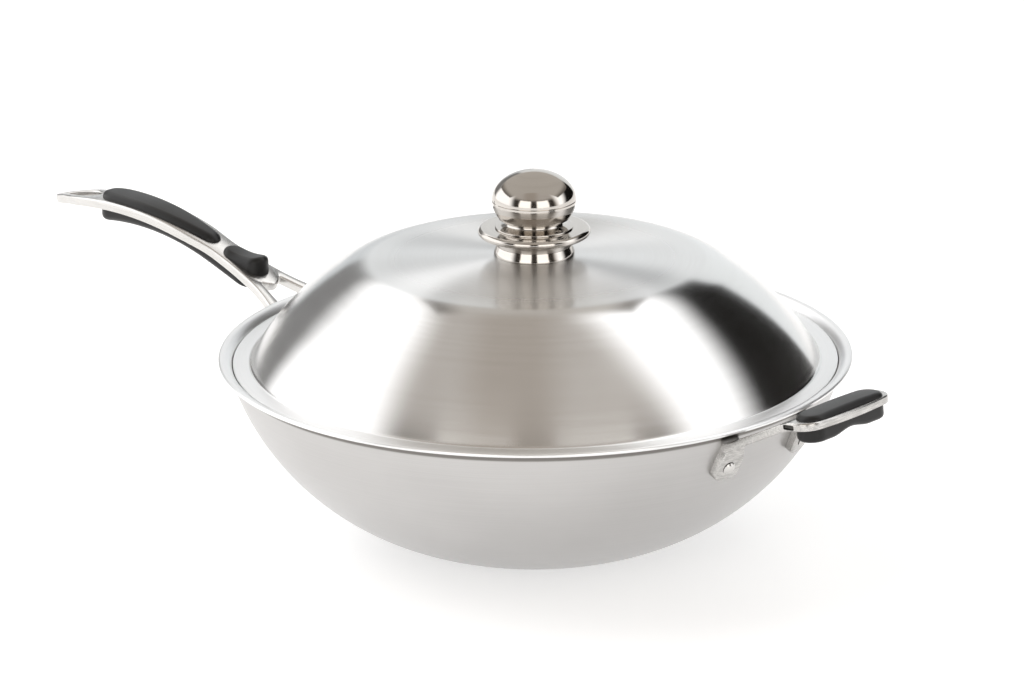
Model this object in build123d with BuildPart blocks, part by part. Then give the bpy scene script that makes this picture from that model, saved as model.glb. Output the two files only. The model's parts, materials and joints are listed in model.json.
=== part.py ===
"""Stainless steel wok with a riveted long handle, a helper handle and a lift-off domed lid.

Millimetres.  The origin is the centre of the underside of the base, +Z is up,
the long handle points to -X and the helper handle to +X.
"""
import os
from math import asin, atan2, cos, degrees, hypot, radians, sin, sqrt, tan

from build123d import *

os.makedirs("parts", exist_ok=True)

# ---------------------------------------------------------------- driving sizes
# bowl
rim_height = 118.0
rim_radius = 195.0
base_radius = 61.5
wall_arc_radius = 161.5
bowl_sheet = 2.5
flare_radius = 4.0           # under the lip, where the wall turns out
lip_width = 2.3              # flat part of the lip
lip_round = 1.15
base_bend_radius = 24.0

# lid, heights above the rim plane
crown_height = 62.5
crown_seat_radius = 26.0     # flat that the knob stands on
crown_arc_radius = 1300.0
crown_edge_inset = 95.0      # from the rim in to where the crown turns into the shoulder
shoulder_arc_radius = 45.0
shoulder_end_angle = 31.0
skirt_arc_radius = 160.0
lid_sheet = 1.2
brim_drop = 3.4              # brim top below the rim plane
brim_bend_radius = 3.0
brim_edge_round = 0.48
seat_gap = 0.3               # brim edge to bowl wall

# knob
foot_radius = 24.8
foot_waist_radius = 23.0
foot_waist_height = 6.2
foot_top_radius = 28.5
foot_height = 12.1
foot_wall = 3.0
foot_roof = 3.5
collar_radius = 34.5
collar_thickness = 4.8
collar_round = 2.2
neck_foot_radius = 24.0
neck_radius = 17.4
neck_height = 4.1
neck_waist_height = 3.2
neck_step = 0.9              # height of the neck's outer edge
ball_radius = 25.9
ball_band_radius = 19.0
ball_band_height = 2.0
ball_shoulder_radius = 21.8
ball_lower_height = 13.5
ball_upper_height = 18.2
ball_sheet = 1.4
ball_floor = 2.0
ball_spigot_height = 2.5
weld_nut_radius = 6.0
weld_nut_height = 6.0
knob_screw_radius = 2.5
knob_screw_head_radius = 4.6
knob_screw_head_height = 3.4
knob_screw_head_round = 0.85
knob_screw_socket_radius = 2.0
knob_screw_socket_depth = 1.7
knob_washer_radius = 8.0
knob_washer_thickness = 1.2
spring_washer_radius = 5.0
spring_washer_thickness = 1.3

# rivets and lugs
rivet_radius = 2.6
rivet_head_radius = 4.3
rivet_head_height = 2.2
rivet_head_round = 1.6
rivet_inner_head_radius = 5.0
rivet_inner_head_height = 1.2
rivet_depth = 23.5           # upper rivet below the rim plane
rivet_spacing = 14.0         # second rivet of a long handle lug
rivet_seat_gap = 0.12        # flat head on the curved sheet
lug_thickness = 5.5
lug_corner_radius = 5.0

# long handle, places outwards from the rim, heights above the rim plane
handle_reach = 234.0
handle_rise_angle = 18.3
handle_bend_start = 80.0     # where the straight run turns into the arc
handle_bend_height = 14.9    # top face there
handle_arc_radius = 270.0
handle_thickness = 6.0
band_margin = 1.0            # how far a band that cuts a grip to height reaches past it
handle_root_half_width = 38.0
handle_shoulder_place = 6.0
handle_shoulder_half_width = 26.2
handle_fork_half_width = 15.6
handle_waist_place = 75.0
handle_waist_half_width = 10.6
handle_grip_half_width = 13.2
handle_taper_length = 15.0   # last stretch before the tip
handle_taper_half_width = 7.6
handle_lug_offset = 26.5
handle_lug_width = 15.0
handle_lug_depth = 46.0      # lug end below the rim plane
fork_end = 34.7
fork_tooth = 5.2             # how far the fork's end bulges towards the bowl
fork_end_half_width = 8.3
fork_middle_place = 12.0
fork_middle_half_width = 14.9
fork_root_half_width = 27.0
eye_tip_margin = 10.0        # metal between the hanging eye and the tip
eye_length = 32.0
eye_half_width = 7.0
eye_wide_length = 10.7       # from the eye's inner end to its widest place
grip_to_eye = 7.0
upper_grip_length = 103.5
upper_grip_height = 6.2
upper_grip_half_width = 11.7
upper_grip_wide_length = 60.0
upper_grip_nose_length = 9.0
upper_grip_nose_half_width = 6.5
upper_grip_tail_length = 8.0
upper_grip_tail_half_width = 9.4
upper_grip_round = 2.4
lower_grip_setback = 3.0     # how much sooner the lower grip ends than the upper
lower_grip_length = 134.0
lower_grip_height = 8.2
lower_grip_half_width = 9.4
lower_grip_round = 2.6
thumb_rest_gap = 6.0         # thumb rest to upper grip
thumb_rest_length = 38.5
thumb_rest_half_width = 8.2
thumb_rest_front_thickness = 14.5
thumb_rest_back_thickness = 3.8
thumb_dish_depth = 1.8
thumb_rest_round = 1.6

# helper handle, places outwards from the rim, heights above the rim plane
helper_reach = 56.5
helper_end_bow = 3.5         # how much further it reaches at its middle than at its ends
helper_bend_place = 31.0
helper_bend_height = 12.2
helper_bend_radius = 10.0
helper_arm_angle = 27.5
helper_platform_angle = 6.0
helper_thickness = 5.0
helper_half_length = 40.5
helper_corner_radius = 12.0
helper_gap_width = 29.0      # finger gap from the rim to the platform
helper_arm_width = 13.5
helper_gap_corner = 9.0
helper_lug_offset = 33.5
helper_lug_width = 17.0
helper_lug_depth = 32.0
helper_lug_cover = 2.0       # arm over the lugs' upper ends
pad_place = 44.0
pad_side_margin = 4.5        # frame that shows beyond the pads' ends
pad_half_width = 9.5
upper_pad_height = 5.4
upper_pad_round = 2.0
lower_pad_height = 6.4
lower_pad_waist = 2.0        # how much thinner the lower pad is at its middle

# grip screws
screw_radius = 1.5
screw_head_radius = 2.75
screw_head_height = 1.8
screw_cover = 4.0            # grip material under a screw's head
grip_screw_inset = 26.0      # from the ends of the upper grip
pad_screw_inset = 15.0       # from the ends of the helper's pads
insert_radius = 2.4
insert_length = 3.4

fit_gap = 0.05               # play between pieces that are fastened together
screw_gap = 0.25             # play of a screw in a clearance hole

# ---------------------------------------------------------------- derived places
# The wall's arc starts at the base's edge and touches the flare's arc from inside.
flare_centre_height = rim_height - bowl_sheet - flare_radius
flare_centre_radius = rim_radius - lip_width
chord = hypot(flare_centre_radius - base_radius, flare_centre_height)
chord_angle = atan2(flare_centre_height, flare_centre_radius - base_radius)
chord_share = (wall_arc_radius**2 - (wall_arc_radius + flare_radius)**2 + chord**2) / (2 * chord)
centre_offset = sqrt(wall_arc_radius**2 - chord_share**2)
wall_centre_radius = base_radius + chord_share * cos(chord_angle) - centre_offset * sin(chord_angle)
wall_centre_height = chord_share * sin(chord_angle) + centre_offset * cos(chord_angle)
flare_angle = degrees(asin((flare_centre_height - wall_centre_height)
                           / (wall_arc_radius + flare_radius)))
lid_base = rim_height + crown_height
foot_top = lid_base + foot_height
collar_top = foot_top + collar_thickness
ball_base = collar_top + neck_height
ball_middle = ball_base + ball_lower_height

# Planes whose x runs outwards from the rim along a handle and whose y is up from it.
long_side = Plane(origin=(-rim_radius, 0, rim_height), x_dir=(-1, 0, 0), z_dir=(0, 1, 0))
helper_side = Plane(origin=(rim_radius, 0, rim_height), x_dir=(1, 0, 0), z_dir=(0, -1, 0))
# Planes whose x runs outwards from the rim along a handle and whose z is up.
long_plan = Plane(origin=(-rim_radius, 0, 0), x_dir=(-1, 0, 0), z_dir=(0, 0, 1))
helper_plan = Plane(origin=(rim_radius, 0, 0))
# Longer than any cut or extrusion needs to be.
tall = 2 * (rim_height + lid_base)
wide = 2 * rim_radius


# ---------------------------------------------------------------- shared shapes
def disc(place, radius, bore=0.0):
    """Round face on a plane, with a hole where a bore is given."""
    with BuildSketch(place) as face:
        Circle(radius)
        if bore:
            Circle(bore, mode=Mode.SUBTRACT)
    return face.sketch


def wall_radius_at(height):
    """Radius of the bowl's outer face at a height."""
    return wall_centre_radius + sqrt(wall_arc_radius**2 - (wall_centre_height - height)**2)


def wall_angle_at(height):
    """Angle of the wall's outward normal at a height, negative below the horizontal."""
    return degrees(atan2(height - wall_centre_height,
                         wall_radius_at(height) - wall_centre_radius))


def wall_plane(offset, height, side):
    """Plane on the wall's outer face with Z outwards; side is -1 or +1 along X."""
    radius = wall_radius_at(height)
    across = offset / radius
    along = side * sqrt(1 - across**2)
    tilt = radians(wall_angle_at(height))
    outward = Vector(cos(tilt) * along, cos(tilt) * across, sin(tilt))
    return Plane(origin=(radius * along, offset, height),
                 x_dir=(-across, along, 0), z_dir=outward)


def bowl_corner(inset):
    """Meeting point of the base and the wall, for an inset from the outer face."""
    arc = wall_arc_radius - inset
    return (wall_centre_radius + sqrt(arc**2 - (wall_centre_height - inset)**2), inset)


def draw_bowl_face(inset):
    """Draw base, wall, flare and lip of one face of the bowl's sheet."""
    corner = bowl_corner(inset)
    start = degrees(atan2(corner[1] - wall_centre_height, corner[0] - wall_centre_radius))
    Line((0, inset), corner)
    CenterArc((wall_centre_radius, wall_centre_height), wall_arc_radius - inset,
              start, flare_angle - start)
    CenterArc((flare_centre_radius, flare_centre_height), flare_radius + inset,
              180 + flare_angle, -90 - flare_angle)
    Line((flare_centre_radius, rim_height - bowl_sheet + inset),
         (rim_radius, rim_height - bowl_sheet + inset))


def near(vertices, point):
    """The vertices that lie on a point of the sketch's plane."""
    return [v for v in vertices if hypot(v.X - point[0], v.Y - point[1]) < 0.01]


# ---------------------------------------------------------------- bowl
long_rivet_places = [wall_plane(edge * handle_lug_offset, rim_height - depth, -1)
                     for edge in (-1, 1)
                     for depth in (rivet_depth, rivet_depth + rivet_spacing)]
helper_rivet_places = [wall_plane(edge * helper_lug_offset, rim_height - rivet_depth, 1)
                       for edge in (-1, 1)]

with BuildPart() as bowl:
    with BuildSketch(Plane.XZ) as section:
        with BuildLine():
            draw_bowl_face(0)
            draw_bowl_face(bowl_sheet)
            Line((0, 0), (0, bowl_sheet))
            Line((rim_radius, rim_height - bowl_sheet), (rim_radius, rim_height))
        make_face()
        fillet(near(section.vertices(), bowl_corner(0)), base_bend_radius)
        fillet(near(section.vertices(), bowl_corner(bowl_sheet)), base_bend_radius - bowl_sheet)
        fillet(section.vertices().group_by(Axis.X)[-1], lip_round)
    revolve(axis=Axis.Z)
    for place in long_rivet_places + helper_rivet_places:
        extrude(disc(place, rivet_radius + fit_gap), amount=2 * bowl_sheet, both=True,
                mode=Mode.SUBTRACT)
bowl.part.label = "bowl"
export_step(bowl.part, "parts/bowl.step")

# Everything inside the bowl's outer face, with the play that the handles keep from it.
with BuildPart() as bowl_envelope:
    with BuildSketch(Plane.XZ):
        with BuildLine():
            draw_bowl_face(-fit_gap)
            Polyline((0, -fit_gap), (0, rim_height), (rim_radius, rim_height),
                     (rim_radius, rim_height - bowl_sheet - fit_gap))
        make_face()
    revolve(axis=Axis.Z)


# ---------------------------------------------------------------- lugs and rivets
def lug(offset, width, depth, top, side):
    """Plate that follows the wall from a depth below the rim up to a height, lower end round."""
    with BuildPart() as plate:
        with BuildSketch(Plane.XZ):
            with BuildLine():
                low = wall_angle_at(rim_height - depth - lug_thickness)
                high = wall_angle_at(top + lug_thickness)
                centre = (wall_centre_radius, wall_centre_height)
                inner = CenterArc(centre, wall_arc_radius + fit_gap, low, high - low)
                outer = CenterArc(centre, wall_arc_radius + lug_thickness, low, high - low)
                Line(inner @ 0, outer @ 0)
                Line(inner @ 1, outer @ 1)
            make_face()
        revolve(axis=Axis.Z)
        with BuildSketch(Plane.YZ) as outline:
            with Locations((offset, (rim_height - depth + top) / 2)):
                Rectangle(width, top - rim_height + depth)
            fillet(outline.vertices().group_by(Axis.Y)[0], lug_corner_radius)
        extrude(amount=side * wide, mode=Mode.INTERSECT)
    return plate.part


def rivet(place):
    """Rivet: shank, round head on the lug and low head inside the bowl."""
    outer_seat = lug_thickness + rivet_seat_gap
    inner_seat = bowl_sheet + rivet_seat_gap
    with BuildPart() as one:
        extrude(disc(place.offset(outer_seat), rivet_head_radius), amount=rivet_head_height)
        rims = one.edges().filter_by(GeomType.CIRCLE)
        fillet(rims.sort_by_distance(place.offset(tall).origin)[0], rivet_head_round)
        extrude(disc(place.offset(-inner_seat), rivet_radius), amount=inner_seat + outer_seat)
        extrude(disc(place.offset(-inner_seat), rivet_inner_head_radius),
                amount=-rivet_inner_head_height)
    return one.part


long_rivets = [rivet(place) for place in long_rivet_places]
helper_rivets = [rivet(place) for place in helper_rivet_places]

with BuildPart() as long_handle_rivets:
    add(long_rivets)
long_handle_rivets.part.label = "long_handle_rivets"
export_step(long_handle_rivets.part, "parts/long_handle_rivets.step")

with BuildPart() as helper_handle_rivets:
    add(helper_rivets)
helper_handle_rivets.part.label = "helper_handle_rivets"
export_step(helper_handle_rivets.part, "parts/helper_handle_rivets.step")

# ---------------------------------------------------------------- long handle
rise = radians(handle_rise_angle)
eye_end = handle_reach - eye_tip_margin
eye_start = eye_end - eye_length
upper_grip_end = eye_start - grip_to_eye
upper_grip_start = upper_grip_end - upper_grip_length
lower_grip_end = upper_grip_end - lower_grip_setback
lower_grip_start = lower_grip_end - lower_grip_length
thumb_rest_end = upper_grip_start - thumb_rest_gap
thumb_rest_start = thumb_rest_end - thumb_rest_length
handle_arc_place = handle_bend_start + handle_arc_radius * sin(rise)
handle_arc_height = handle_bend_height - handle_arc_radius * cos(rise)


def handle_height_at(place, above=0.0):
    """Height over the rim plane of the handle's top face, or of a face parallel to it."""
    if place < handle_bend_start - above * sin(rise):
        return handle_bend_height + (place - handle_bend_start) * tan(rise) + above / cos(rise)
    return handle_arc_height + sqrt((handle_arc_radius + above)**2
                                    - (place - handle_arc_place)**2)


def handle_plane(place):
    """Plane on the handle's top face with Z along the face's normal."""
    lean = min(rise, asin((handle_arc_place - place) / handle_arc_radius))
    return Plane(origin=(-rim_radius - place, 0, rim_height + handle_height_at(place)),
                 x_dir=(-cos(lean), 0, sin(lean)), z_dir=(sin(lean), 0, cos(lean)))


def draw_handle_line(above, start, end):
    """Draw a line parallel to the handle's top face from one place to another."""
    bend = (handle_bend_start - above * sin(rise), handle_bend_height + above * cos(rise))
    first = degrees(atan2(handle_height_at(max(start, bend[0]), above) - handle_arc_height,
                          max(start, bend[0]) - handle_arc_place))
    last = degrees(atan2(handle_height_at(end, above) - handle_arc_height,
                         end - handle_arc_place))
    if start < bend[0]:
        Line((start, handle_height_at(start, above)), bend)
    CenterArc((handle_arc_place, handle_arc_height), handle_arc_radius + above,
              first, last - first)


def handle_band(start, end, low, high):
    """Side view face between two lines parallel to the top face, a little longer than asked."""
    start, end = start - band_margin, end + band_margin
    with BuildSketch(long_side) as face:
        with BuildLine():
            draw_handle_line(low, start, end)
            draw_handle_line(high, start, end)
            for place in (start, end):
                Line((place, handle_height_at(place, low)), (place, handle_height_at(place, high)))
        make_face()
    return face.sketch


long_handle_screw_places = [handle_plane(place) for place in
                            (upper_grip_start + grip_screw_inset, upper_grip_end - grip_screw_inset)]
thumb_screw_plane = handle_plane((thumb_rest_start + thumb_rest_end) / 2)
arm_inside = wall_radius_at(rim_height - handle_lug_depth) - rim_radius
arm_meets_wall = wall_radius_at(rim_height - rivet_depth) - rim_radius
long_lugs = [lug(edge * handle_lug_offset, handle_lug_width, handle_lug_depth,
                 rim_height + handle_height_at(arm_meets_wall), -1)
             for edge in (-1, 1)]

with BuildPart() as long_handle_frame:
    with BuildSketch(long_plan):
        with BuildLine():
            edge = Spline((arm_inside, handle_root_half_width),
                          (handle_shoulder_place, handle_shoulder_half_width),
                          (fork_end, handle_fork_half_width),
                          (handle_waist_place, handle_waist_half_width),
                          (upper_grip_start + upper_grip_wide_length / 2, handle_grip_half_width),
                          (eye_start, handle_grip_half_width),
                          (handle_reach - handle_taper_length, handle_taper_half_width),
                          (handle_reach, 0), tangents=((1, -0.6), (0, -1)))
            mirror(edge, about=Plane.XZ)
            Line((arm_inside, -handle_root_half_width), (arm_inside, handle_root_half_width))
        make_face()
        with BuildLine():
            side = Spline((arm_inside, fork_root_half_width),
                          (fork_middle_place, fork_middle_half_width),
                          (fork_end, fork_end_half_width))
            mirror(side, about=Plane.XZ)
            ThreePointArc((fork_end, fork_end_half_width), (fork_end - fork_tooth, 0),
                          (fork_end, -fork_end_half_width))
            Line((arm_inside, -fork_root_half_width), (arm_inside, fork_root_half_width))
        make_face(mode=Mode.SUBTRACT)
        with BuildLine():
            side = Spline((eye_start, 0), (eye_start + eye_wide_length, eye_half_width),
                          (eye_end, 0), tangents=((0, 1), (0.35, -1)))
            mirror(side, about=Plane.XZ)
        make_face(mode=Mode.SUBTRACT)
    extrude(amount=tall)
    extrude(handle_band(arm_inside, handle_reach, -handle_thickness, 0),
            amount=wide, both=True, mode=Mode.INTERSECT)
    add(long_lugs)
    add(bowl_envelope.part, mode=Mode.SUBTRACT)
    for place in long_rivet_places:
        extrude(disc(place, rivet_radius + fit_gap), amount=2 * lug_thickness,
                mode=Mode.SUBTRACT)
    for place in long_handle_screw_places + [thumb_screw_plane]:
        extrude(disc(place, screw_radius + screw_gap), amount=2 * handle_thickness, both=True,
                mode=Mode.SUBTRACT)
long_handle_frame.part.label = "long_handle_frame"
export_step(long_handle_frame.part, "parts/long_handle_frame.step")


def add_insert(place):
    """Add a threaded insert that stands on a plane."""
    extrude(disc(place, insert_radius, screw_radius + fit_gap), amount=insert_length)


def cut_insert_seat(place):
    """Cut the blind hole that an insert and its screw's end stand in."""
    extrude(disc(place, insert_radius + fit_gap), amount=insert_length + screw_gap,
            mode=Mode.SUBTRACT)


def grip_screw(place, seat):
    """Screw whose head sits at a depth under a plane and which ends in its insert."""
    with BuildPart() as one:
        extrude(disc(place.offset(-seat), screw_head_radius), amount=-screw_head_height)
        rims = one.edges().filter_by(GeomType.CIRCLE)
        fillet(rims.sort_by_distance(place.offset(-tall).origin)[0], screw_head_height / 2)
        extrude(disc(place.offset(-seat), screw_radius), amount=seat + insert_length)
    return one.part


def cut_screw_way(place, seat):
    """Cut a screw's clearance hole and the well for its head."""
    extrude(disc(place, screw_radius + screw_gap), amount=-tall, mode=Mode.SUBTRACT)
    extrude(disc(place.offset(-seat), screw_head_radius + screw_gap), amount=-tall,
            mode=Mode.SUBTRACT)


long_screw_seat = handle_thickness + screw_cover

with BuildPart() as long_handle_upper_grip:
    with BuildSketch(long_plan):
        with BuildLine():
            edge = Spline((upper_grip_start, 0),
                          (upper_grip_start + upper_grip_nose_length, upper_grip_nose_half_width),
                          (upper_grip_start + upper_grip_wide_length, upper_grip_half_width),
                          (upper_grip_end - upper_grip_tail_length, upper_grip_tail_half_width),
                          (upper_grip_end, 0), tangents=((0, 1), (0, -1)))
            mirror(edge, about=Plane.XZ)
        make_face()
    extrude(amount=tall)
    extrude(handle_band(upper_grip_start, upper_grip_end, fit_gap, upper_grip_height),
            amount=wide, both=True, mode=Mode.INTERSECT)
    top = long_handle_upper_grip.faces().filter_by(lambda f: f.normal_at().Z > 0.6)
    fillet(top.edges(), upper_grip_round)
    for place in long_handle_screw_places:
        cut_insert_seat(place)
long_handle_upper_grip.part.label = "long_handle_upper_grip"
export_step(long_handle_upper_grip.part, "parts/long_handle_upper_grip.step")

with BuildPart() as long_handle_grip_inserts:
    for place in long_handle_screw_places:
        add_insert(place.offset(fit_gap))
long_handle_grip_inserts.part.label = "long_handle_grip_inserts"
export_step(long_handle_grip_inserts.part, "parts/long_handle_grip_inserts.step")

with BuildPart() as long_handle_lower_grip:
    with BuildSketch(long_plan):
        with Locations(((lower_grip_start + lower_grip_end) / 2, 0)):
            SlotOverall(lower_grip_end - lower_grip_start, 2 * lower_grip_half_width)
    extrude(amount=tall)
    extrude(handle_band(lower_grip_start, lower_grip_end,
                        -handle_thickness - lower_grip_height, -handle_thickness - fit_gap),
            amount=wide, both=True, mode=Mode.INTERSECT)
    bottom = long_handle_lower_grip.faces().filter_by(lambda f: f.normal_at().Z < -0.6)
    fillet(bottom.edges().filter_by(Axis.Y, reverse=True), lower_grip_round)
    for place in long_handle_screw_places + [thumb_screw_plane]:
        cut_screw_way(place, long_screw_seat)
long_handle_lower_grip.part.label = "long_handle_lower_grip"
export_step(long_handle_lower_grip.part, "parts/long_handle_lower_grip.step")

long_screws = [grip_screw(place, long_screw_seat) for place in long_handle_screw_places]

with BuildPart() as long_handle_grip_screws:
    add(long_screws)
long_handle_grip_screws.part.label = "long_handle_grip_screws"
export_step(long_handle_grip_screws.part, "parts/long_handle_grip_screws.step")

with BuildPart() as thumb_rest:
    with BuildSketch(long_side):
        with BuildLine():
            front_foot = (thumb_rest_start, handle_height_at(thumb_rest_start, fit_gap))
            back_foot = (thumb_rest_end, handle_height_at(thumb_rest_end, fit_gap))
            front = (thumb_rest_start, front_foot[1] + thumb_rest_front_thickness)
            back = (thumb_rest_end, back_foot[1] + thumb_rest_back_thickness)
            dish = ((front[0] + back[0]) / 2, (front[1] + back[1]) / 2 - thumb_dish_depth)
            ThreePointArc(front, dish, back)
            Polyline(back, back_foot, front_foot, front)
        make_face()
    extrude(amount=wide, both=True)
    with BuildSketch(long_plan):
        with Locations(((thumb_rest_start + thumb_rest_end) / 2, 0)):
            SlotOverall(thumb_rest_end - thumb_rest_start, 2 * thumb_rest_half_width)
    extrude(amount=tall, mode=Mode.INTERSECT)
    fillet(thumb_rest.faces().sort_by(Axis.Z)[-1].edges(), thumb_rest_round)
    cut_insert_seat(thumb_screw_plane)
thumb_rest.part.label = "thumb_rest"
export_step(thumb_rest.part, "parts/thumb_rest.step")

with BuildPart() as thumb_rest_insert:
    add_insert(thumb_screw_plane.offset(fit_gap))
thumb_rest_insert.part.label = "thumb_rest_insert"
export_step(thumb_rest_insert.part, "parts/thumb_rest_insert.step")

thumb_screw = grip_screw(thumb_screw_plane, long_screw_seat)

with BuildPart() as thumb_rest_screw:
    add(thumb_screw)
thumb_rest_screw.part.label = "thumb_rest_screw"
export_step(thumb_rest_screw.part, "parts/thumb_rest_screw.step")

# ---------------------------------------------------------------- helper handle
arm_slope = tan(radians(helper_arm_angle))
platform_slope = tan(radians(helper_platform_angle))
bend_half_turn = radians(helper_arm_angle - helper_platform_angle) / 2
bend_lean = radians(helper_arm_angle + helper_platform_angle) / 2
bend_top = (helper_bend_place, helper_bend_height)
bend_bottom = (helper_bend_place + helper_thickness * sin(bend_lean) / cos(bend_half_turn),
               helper_bend_height - helper_thickness * cos(bend_lean) / cos(bend_half_turn))
platform_end = helper_reach + helper_thickness
helper_arm_top = rim_height + helper_bend_height - arm_slope * helper_bend_place
pad_half_length = helper_half_length - pad_side_margin
platform_lean = radians(helper_platform_angle)
pad_plane = Plane(origin=(rim_radius + pad_place, 0, rim_height + helper_bend_height
                          + platform_slope * (pad_place - helper_bend_place)),
                  x_dir=(0, 1, 0), z_dir=(-sin(platform_lean), 0, cos(platform_lean)))
helper_screw_places = [Plane(origin=pad_plane.from_local_coords((offset, 0, 0)),
                             x_dir=pad_plane.x_dir, z_dir=pad_plane.z_dir)
                       for offset in (pad_screw_inset - pad_half_length,
                                      pad_half_length - pad_screw_inset)]
helper_lugs = [lug(edge * helper_lug_offset, helper_lug_width, helper_lug_depth,
                   helper_arm_top - arm_slope * lug_thickness - helper_lug_cover, 1)
               for edge in (-1, 1)]

with BuildPart() as helper_handle_frame:
    with BuildSketch(helper_plan) as outline:
        with BuildLine():
            corner = (helper_reach - helper_end_bow, helper_half_length)
            ThreePointArc(corner, (helper_reach, 0), (corner[0], -corner[1]))
            Polyline((corner[0], -corner[1]), (arm_inside, -corner[1]), (arm_inside, corner[1]),
                     corner)
        make_face()
        fillet(near(outline.vertices(), corner) + near(outline.vertices(), (corner[0], -corner[1])),
               helper_corner_radius)
        with BuildLine():
            gap = (helper_gap_width, helper_half_length - helper_arm_width)
            Polyline((arm_inside, gap[1]), gap, (gap[0], -gap[1]), (arm_inside, -gap[1]), close=True)
        make_face(mode=Mode.SUBTRACT)
        fillet(near(outline.vertices(), gap) + near(outline.vertices(), (gap[0], -gap[1])),
               helper_gap_corner)
    extrude(amount=tall)
    with BuildSketch(helper_side) as profile:
        with BuildLine():
            arm_run = helper_bend_place - arm_inside + helper_thickness
            platform_run = platform_end - helper_bend_place
            Polyline((bend_top[0] - arm_run, bend_top[1] - arm_slope * arm_run), bend_top,
                     (bend_top[0] + platform_run, bend_top[1] + platform_slope * platform_run),
                     (bend_bottom[0] + platform_run, bend_bottom[1] + platform_slope * platform_run),
                     bend_bottom,
                     (bend_bottom[0] - arm_run, bend_bottom[1] - arm_slope * arm_run), close=True)
        make_face()
        fillet(near(profile.vertices(), bend_bottom), helper_bend_radius)
        fillet(near(profile.vertices(), bend_top), helper_bend_radius + helper_thickness)
    extrude(amount=wide, both=True, mode=Mode.INTERSECT)
    add(helper_lugs)
    add(bowl_envelope.part, mode=Mode.SUBTRACT)
    for place in helper_rivet_places:
        extrude(disc(place, rivet_radius + fit_gap), amount=2 * lug_thickness,
                mode=Mode.SUBTRACT)
    for place in helper_screw_places:
        extrude(disc(place, screw_radius + screw_gap), amount=2 * helper_thickness, both=True,
                mode=Mode.SUBTRACT)
helper_handle_frame.part.label = "helper_handle_frame"
export_step(helper_handle_frame.part, "parts/helper_handle_frame.step")

helper_screw_seat = helper_thickness + screw_cover / 2

with BuildPart() as helper_upper_pad:
    with BuildSketch(pad_plane.offset(fit_gap)):
        SlotOverall(2 * pad_half_length, 2 * pad_half_width)
    extrude(amount=upper_pad_height - fit_gap)
    fillet(helper_upper_pad.faces().sort_by(Axis.Z)[-1].edges(), upper_pad_round)
    for place in helper_screw_places:
        cut_insert_seat(place)
helper_upper_pad.part.label = "helper_upper_pad"
export_step(helper_upper_pad.part, "parts/helper_upper_pad.step")

with BuildPart() as helper_lower_pad:
    with BuildSketch(pad_plane.offset(-helper_thickness - fit_gap)):
        SlotOverall(2 * pad_half_length, 2 * pad_half_width)
    extrude(amount=-lower_pad_height + fit_gap)
    with BuildSketch(Plane(origin=pad_plane.origin, x_dir=pad_plane.x_dir,
                           z_dir=-pad_plane.y_dir)):
        with BuildLine():
            floor = -helper_thickness - lower_pad_height
            half = pad_half_length + pad_side_margin
            lobe = pad_half_length / 2
            Spline((-half, floor), (-lobe, floor), (0, floor + lower_pad_waist), (lobe, floor),
                   (half, floor))
            Polyline((half, floor), (half, 0), (-half, 0), (-half, floor))
        make_face()
    extrude(amount=wide, both=True, mode=Mode.INTERSECT)
    for place in helper_screw_places:
        cut_screw_way(place, helper_screw_seat)
helper_lower_pad.part.label = "helper_lower_pad"
export_step(helper_lower_pad.part, "parts/helper_lower_pad.step")

helper_screws = [grip_screw(place, helper_screw_seat) for place in helper_screw_places]

with BuildPart() as helper_pad_screws:
    add(helper_screws)
helper_pad_screws.part.label = "helper_pad_screws"
export_step(helper_pad_screws.part, "parts/helper_pad_screws.step")

with BuildPart() as helper_pad_inserts:
    for place in helper_screw_places:
        add_insert(place.offset(fit_gap))
helper_pad_inserts.part.label = "helper_pad_inserts"
export_step(helper_pad_inserts.part, "parts/helper_pad_inserts.step")

# ---------------------------------------------------------------- lid
brim_bottom = rim_height - brim_drop - lid_sheet
brim_radius = flare_centre_radius - sqrt((flare_radius + bowl_sheet + seat_gap)**2
                                         - (brim_bottom - flare_centre_height)**2)
crown_start_angle = degrees(asin(crown_seat_radius / crown_arc_radius))
crown_end_angle = degrees(asin((rim_radius - crown_edge_inset) / crown_arc_radius))
crown_centre = (0, lid_base - crown_arc_radius * cos(radians(crown_start_angle)))


def along(centre, radius, angle):
    """Point of an arc, with the angle measured from the vertical."""
    return (centre[0] + radius * sin(radians(angle)), centre[1] + radius * cos(radians(angle)))


shoulder_centre = along(crown_centre, crown_arc_radius - shoulder_arc_radius, crown_end_angle)
skirt_centre = along(shoulder_centre, shoulder_arc_radius - skirt_arc_radius, shoulder_end_angle)


def draw_dome_face(inset, brim_height):
    """Draw seat, crown, shoulder, skirt and brim of one face; return the skirt's foot."""
    skirt_radius = skirt_arc_radius - inset
    foot = (skirt_centre[0] + sqrt(skirt_radius**2 - (brim_height - skirt_centre[1])**2),
            brim_height)
    foot_angle = degrees(atan2(foot[0] - skirt_centre[0], foot[1] - skirt_centre[1]))
    seat = along(crown_centre, crown_arc_radius - inset, crown_start_angle)
    Line((0, seat[1]), seat)
    CenterArc(crown_centre, crown_arc_radius - inset, 90 - crown_start_angle,
              crown_start_angle - crown_end_angle)
    CenterArc(shoulder_centre, shoulder_arc_radius - inset, 90 - crown_end_angle,
              crown_end_angle - shoulder_end_angle)
    CenterArc(skirt_centre, skirt_radius, 90 - shoulder_end_angle,
              shoulder_end_angle - foot_angle)
    Line(foot, (brim_radius, brim_height))
    return foot


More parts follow.
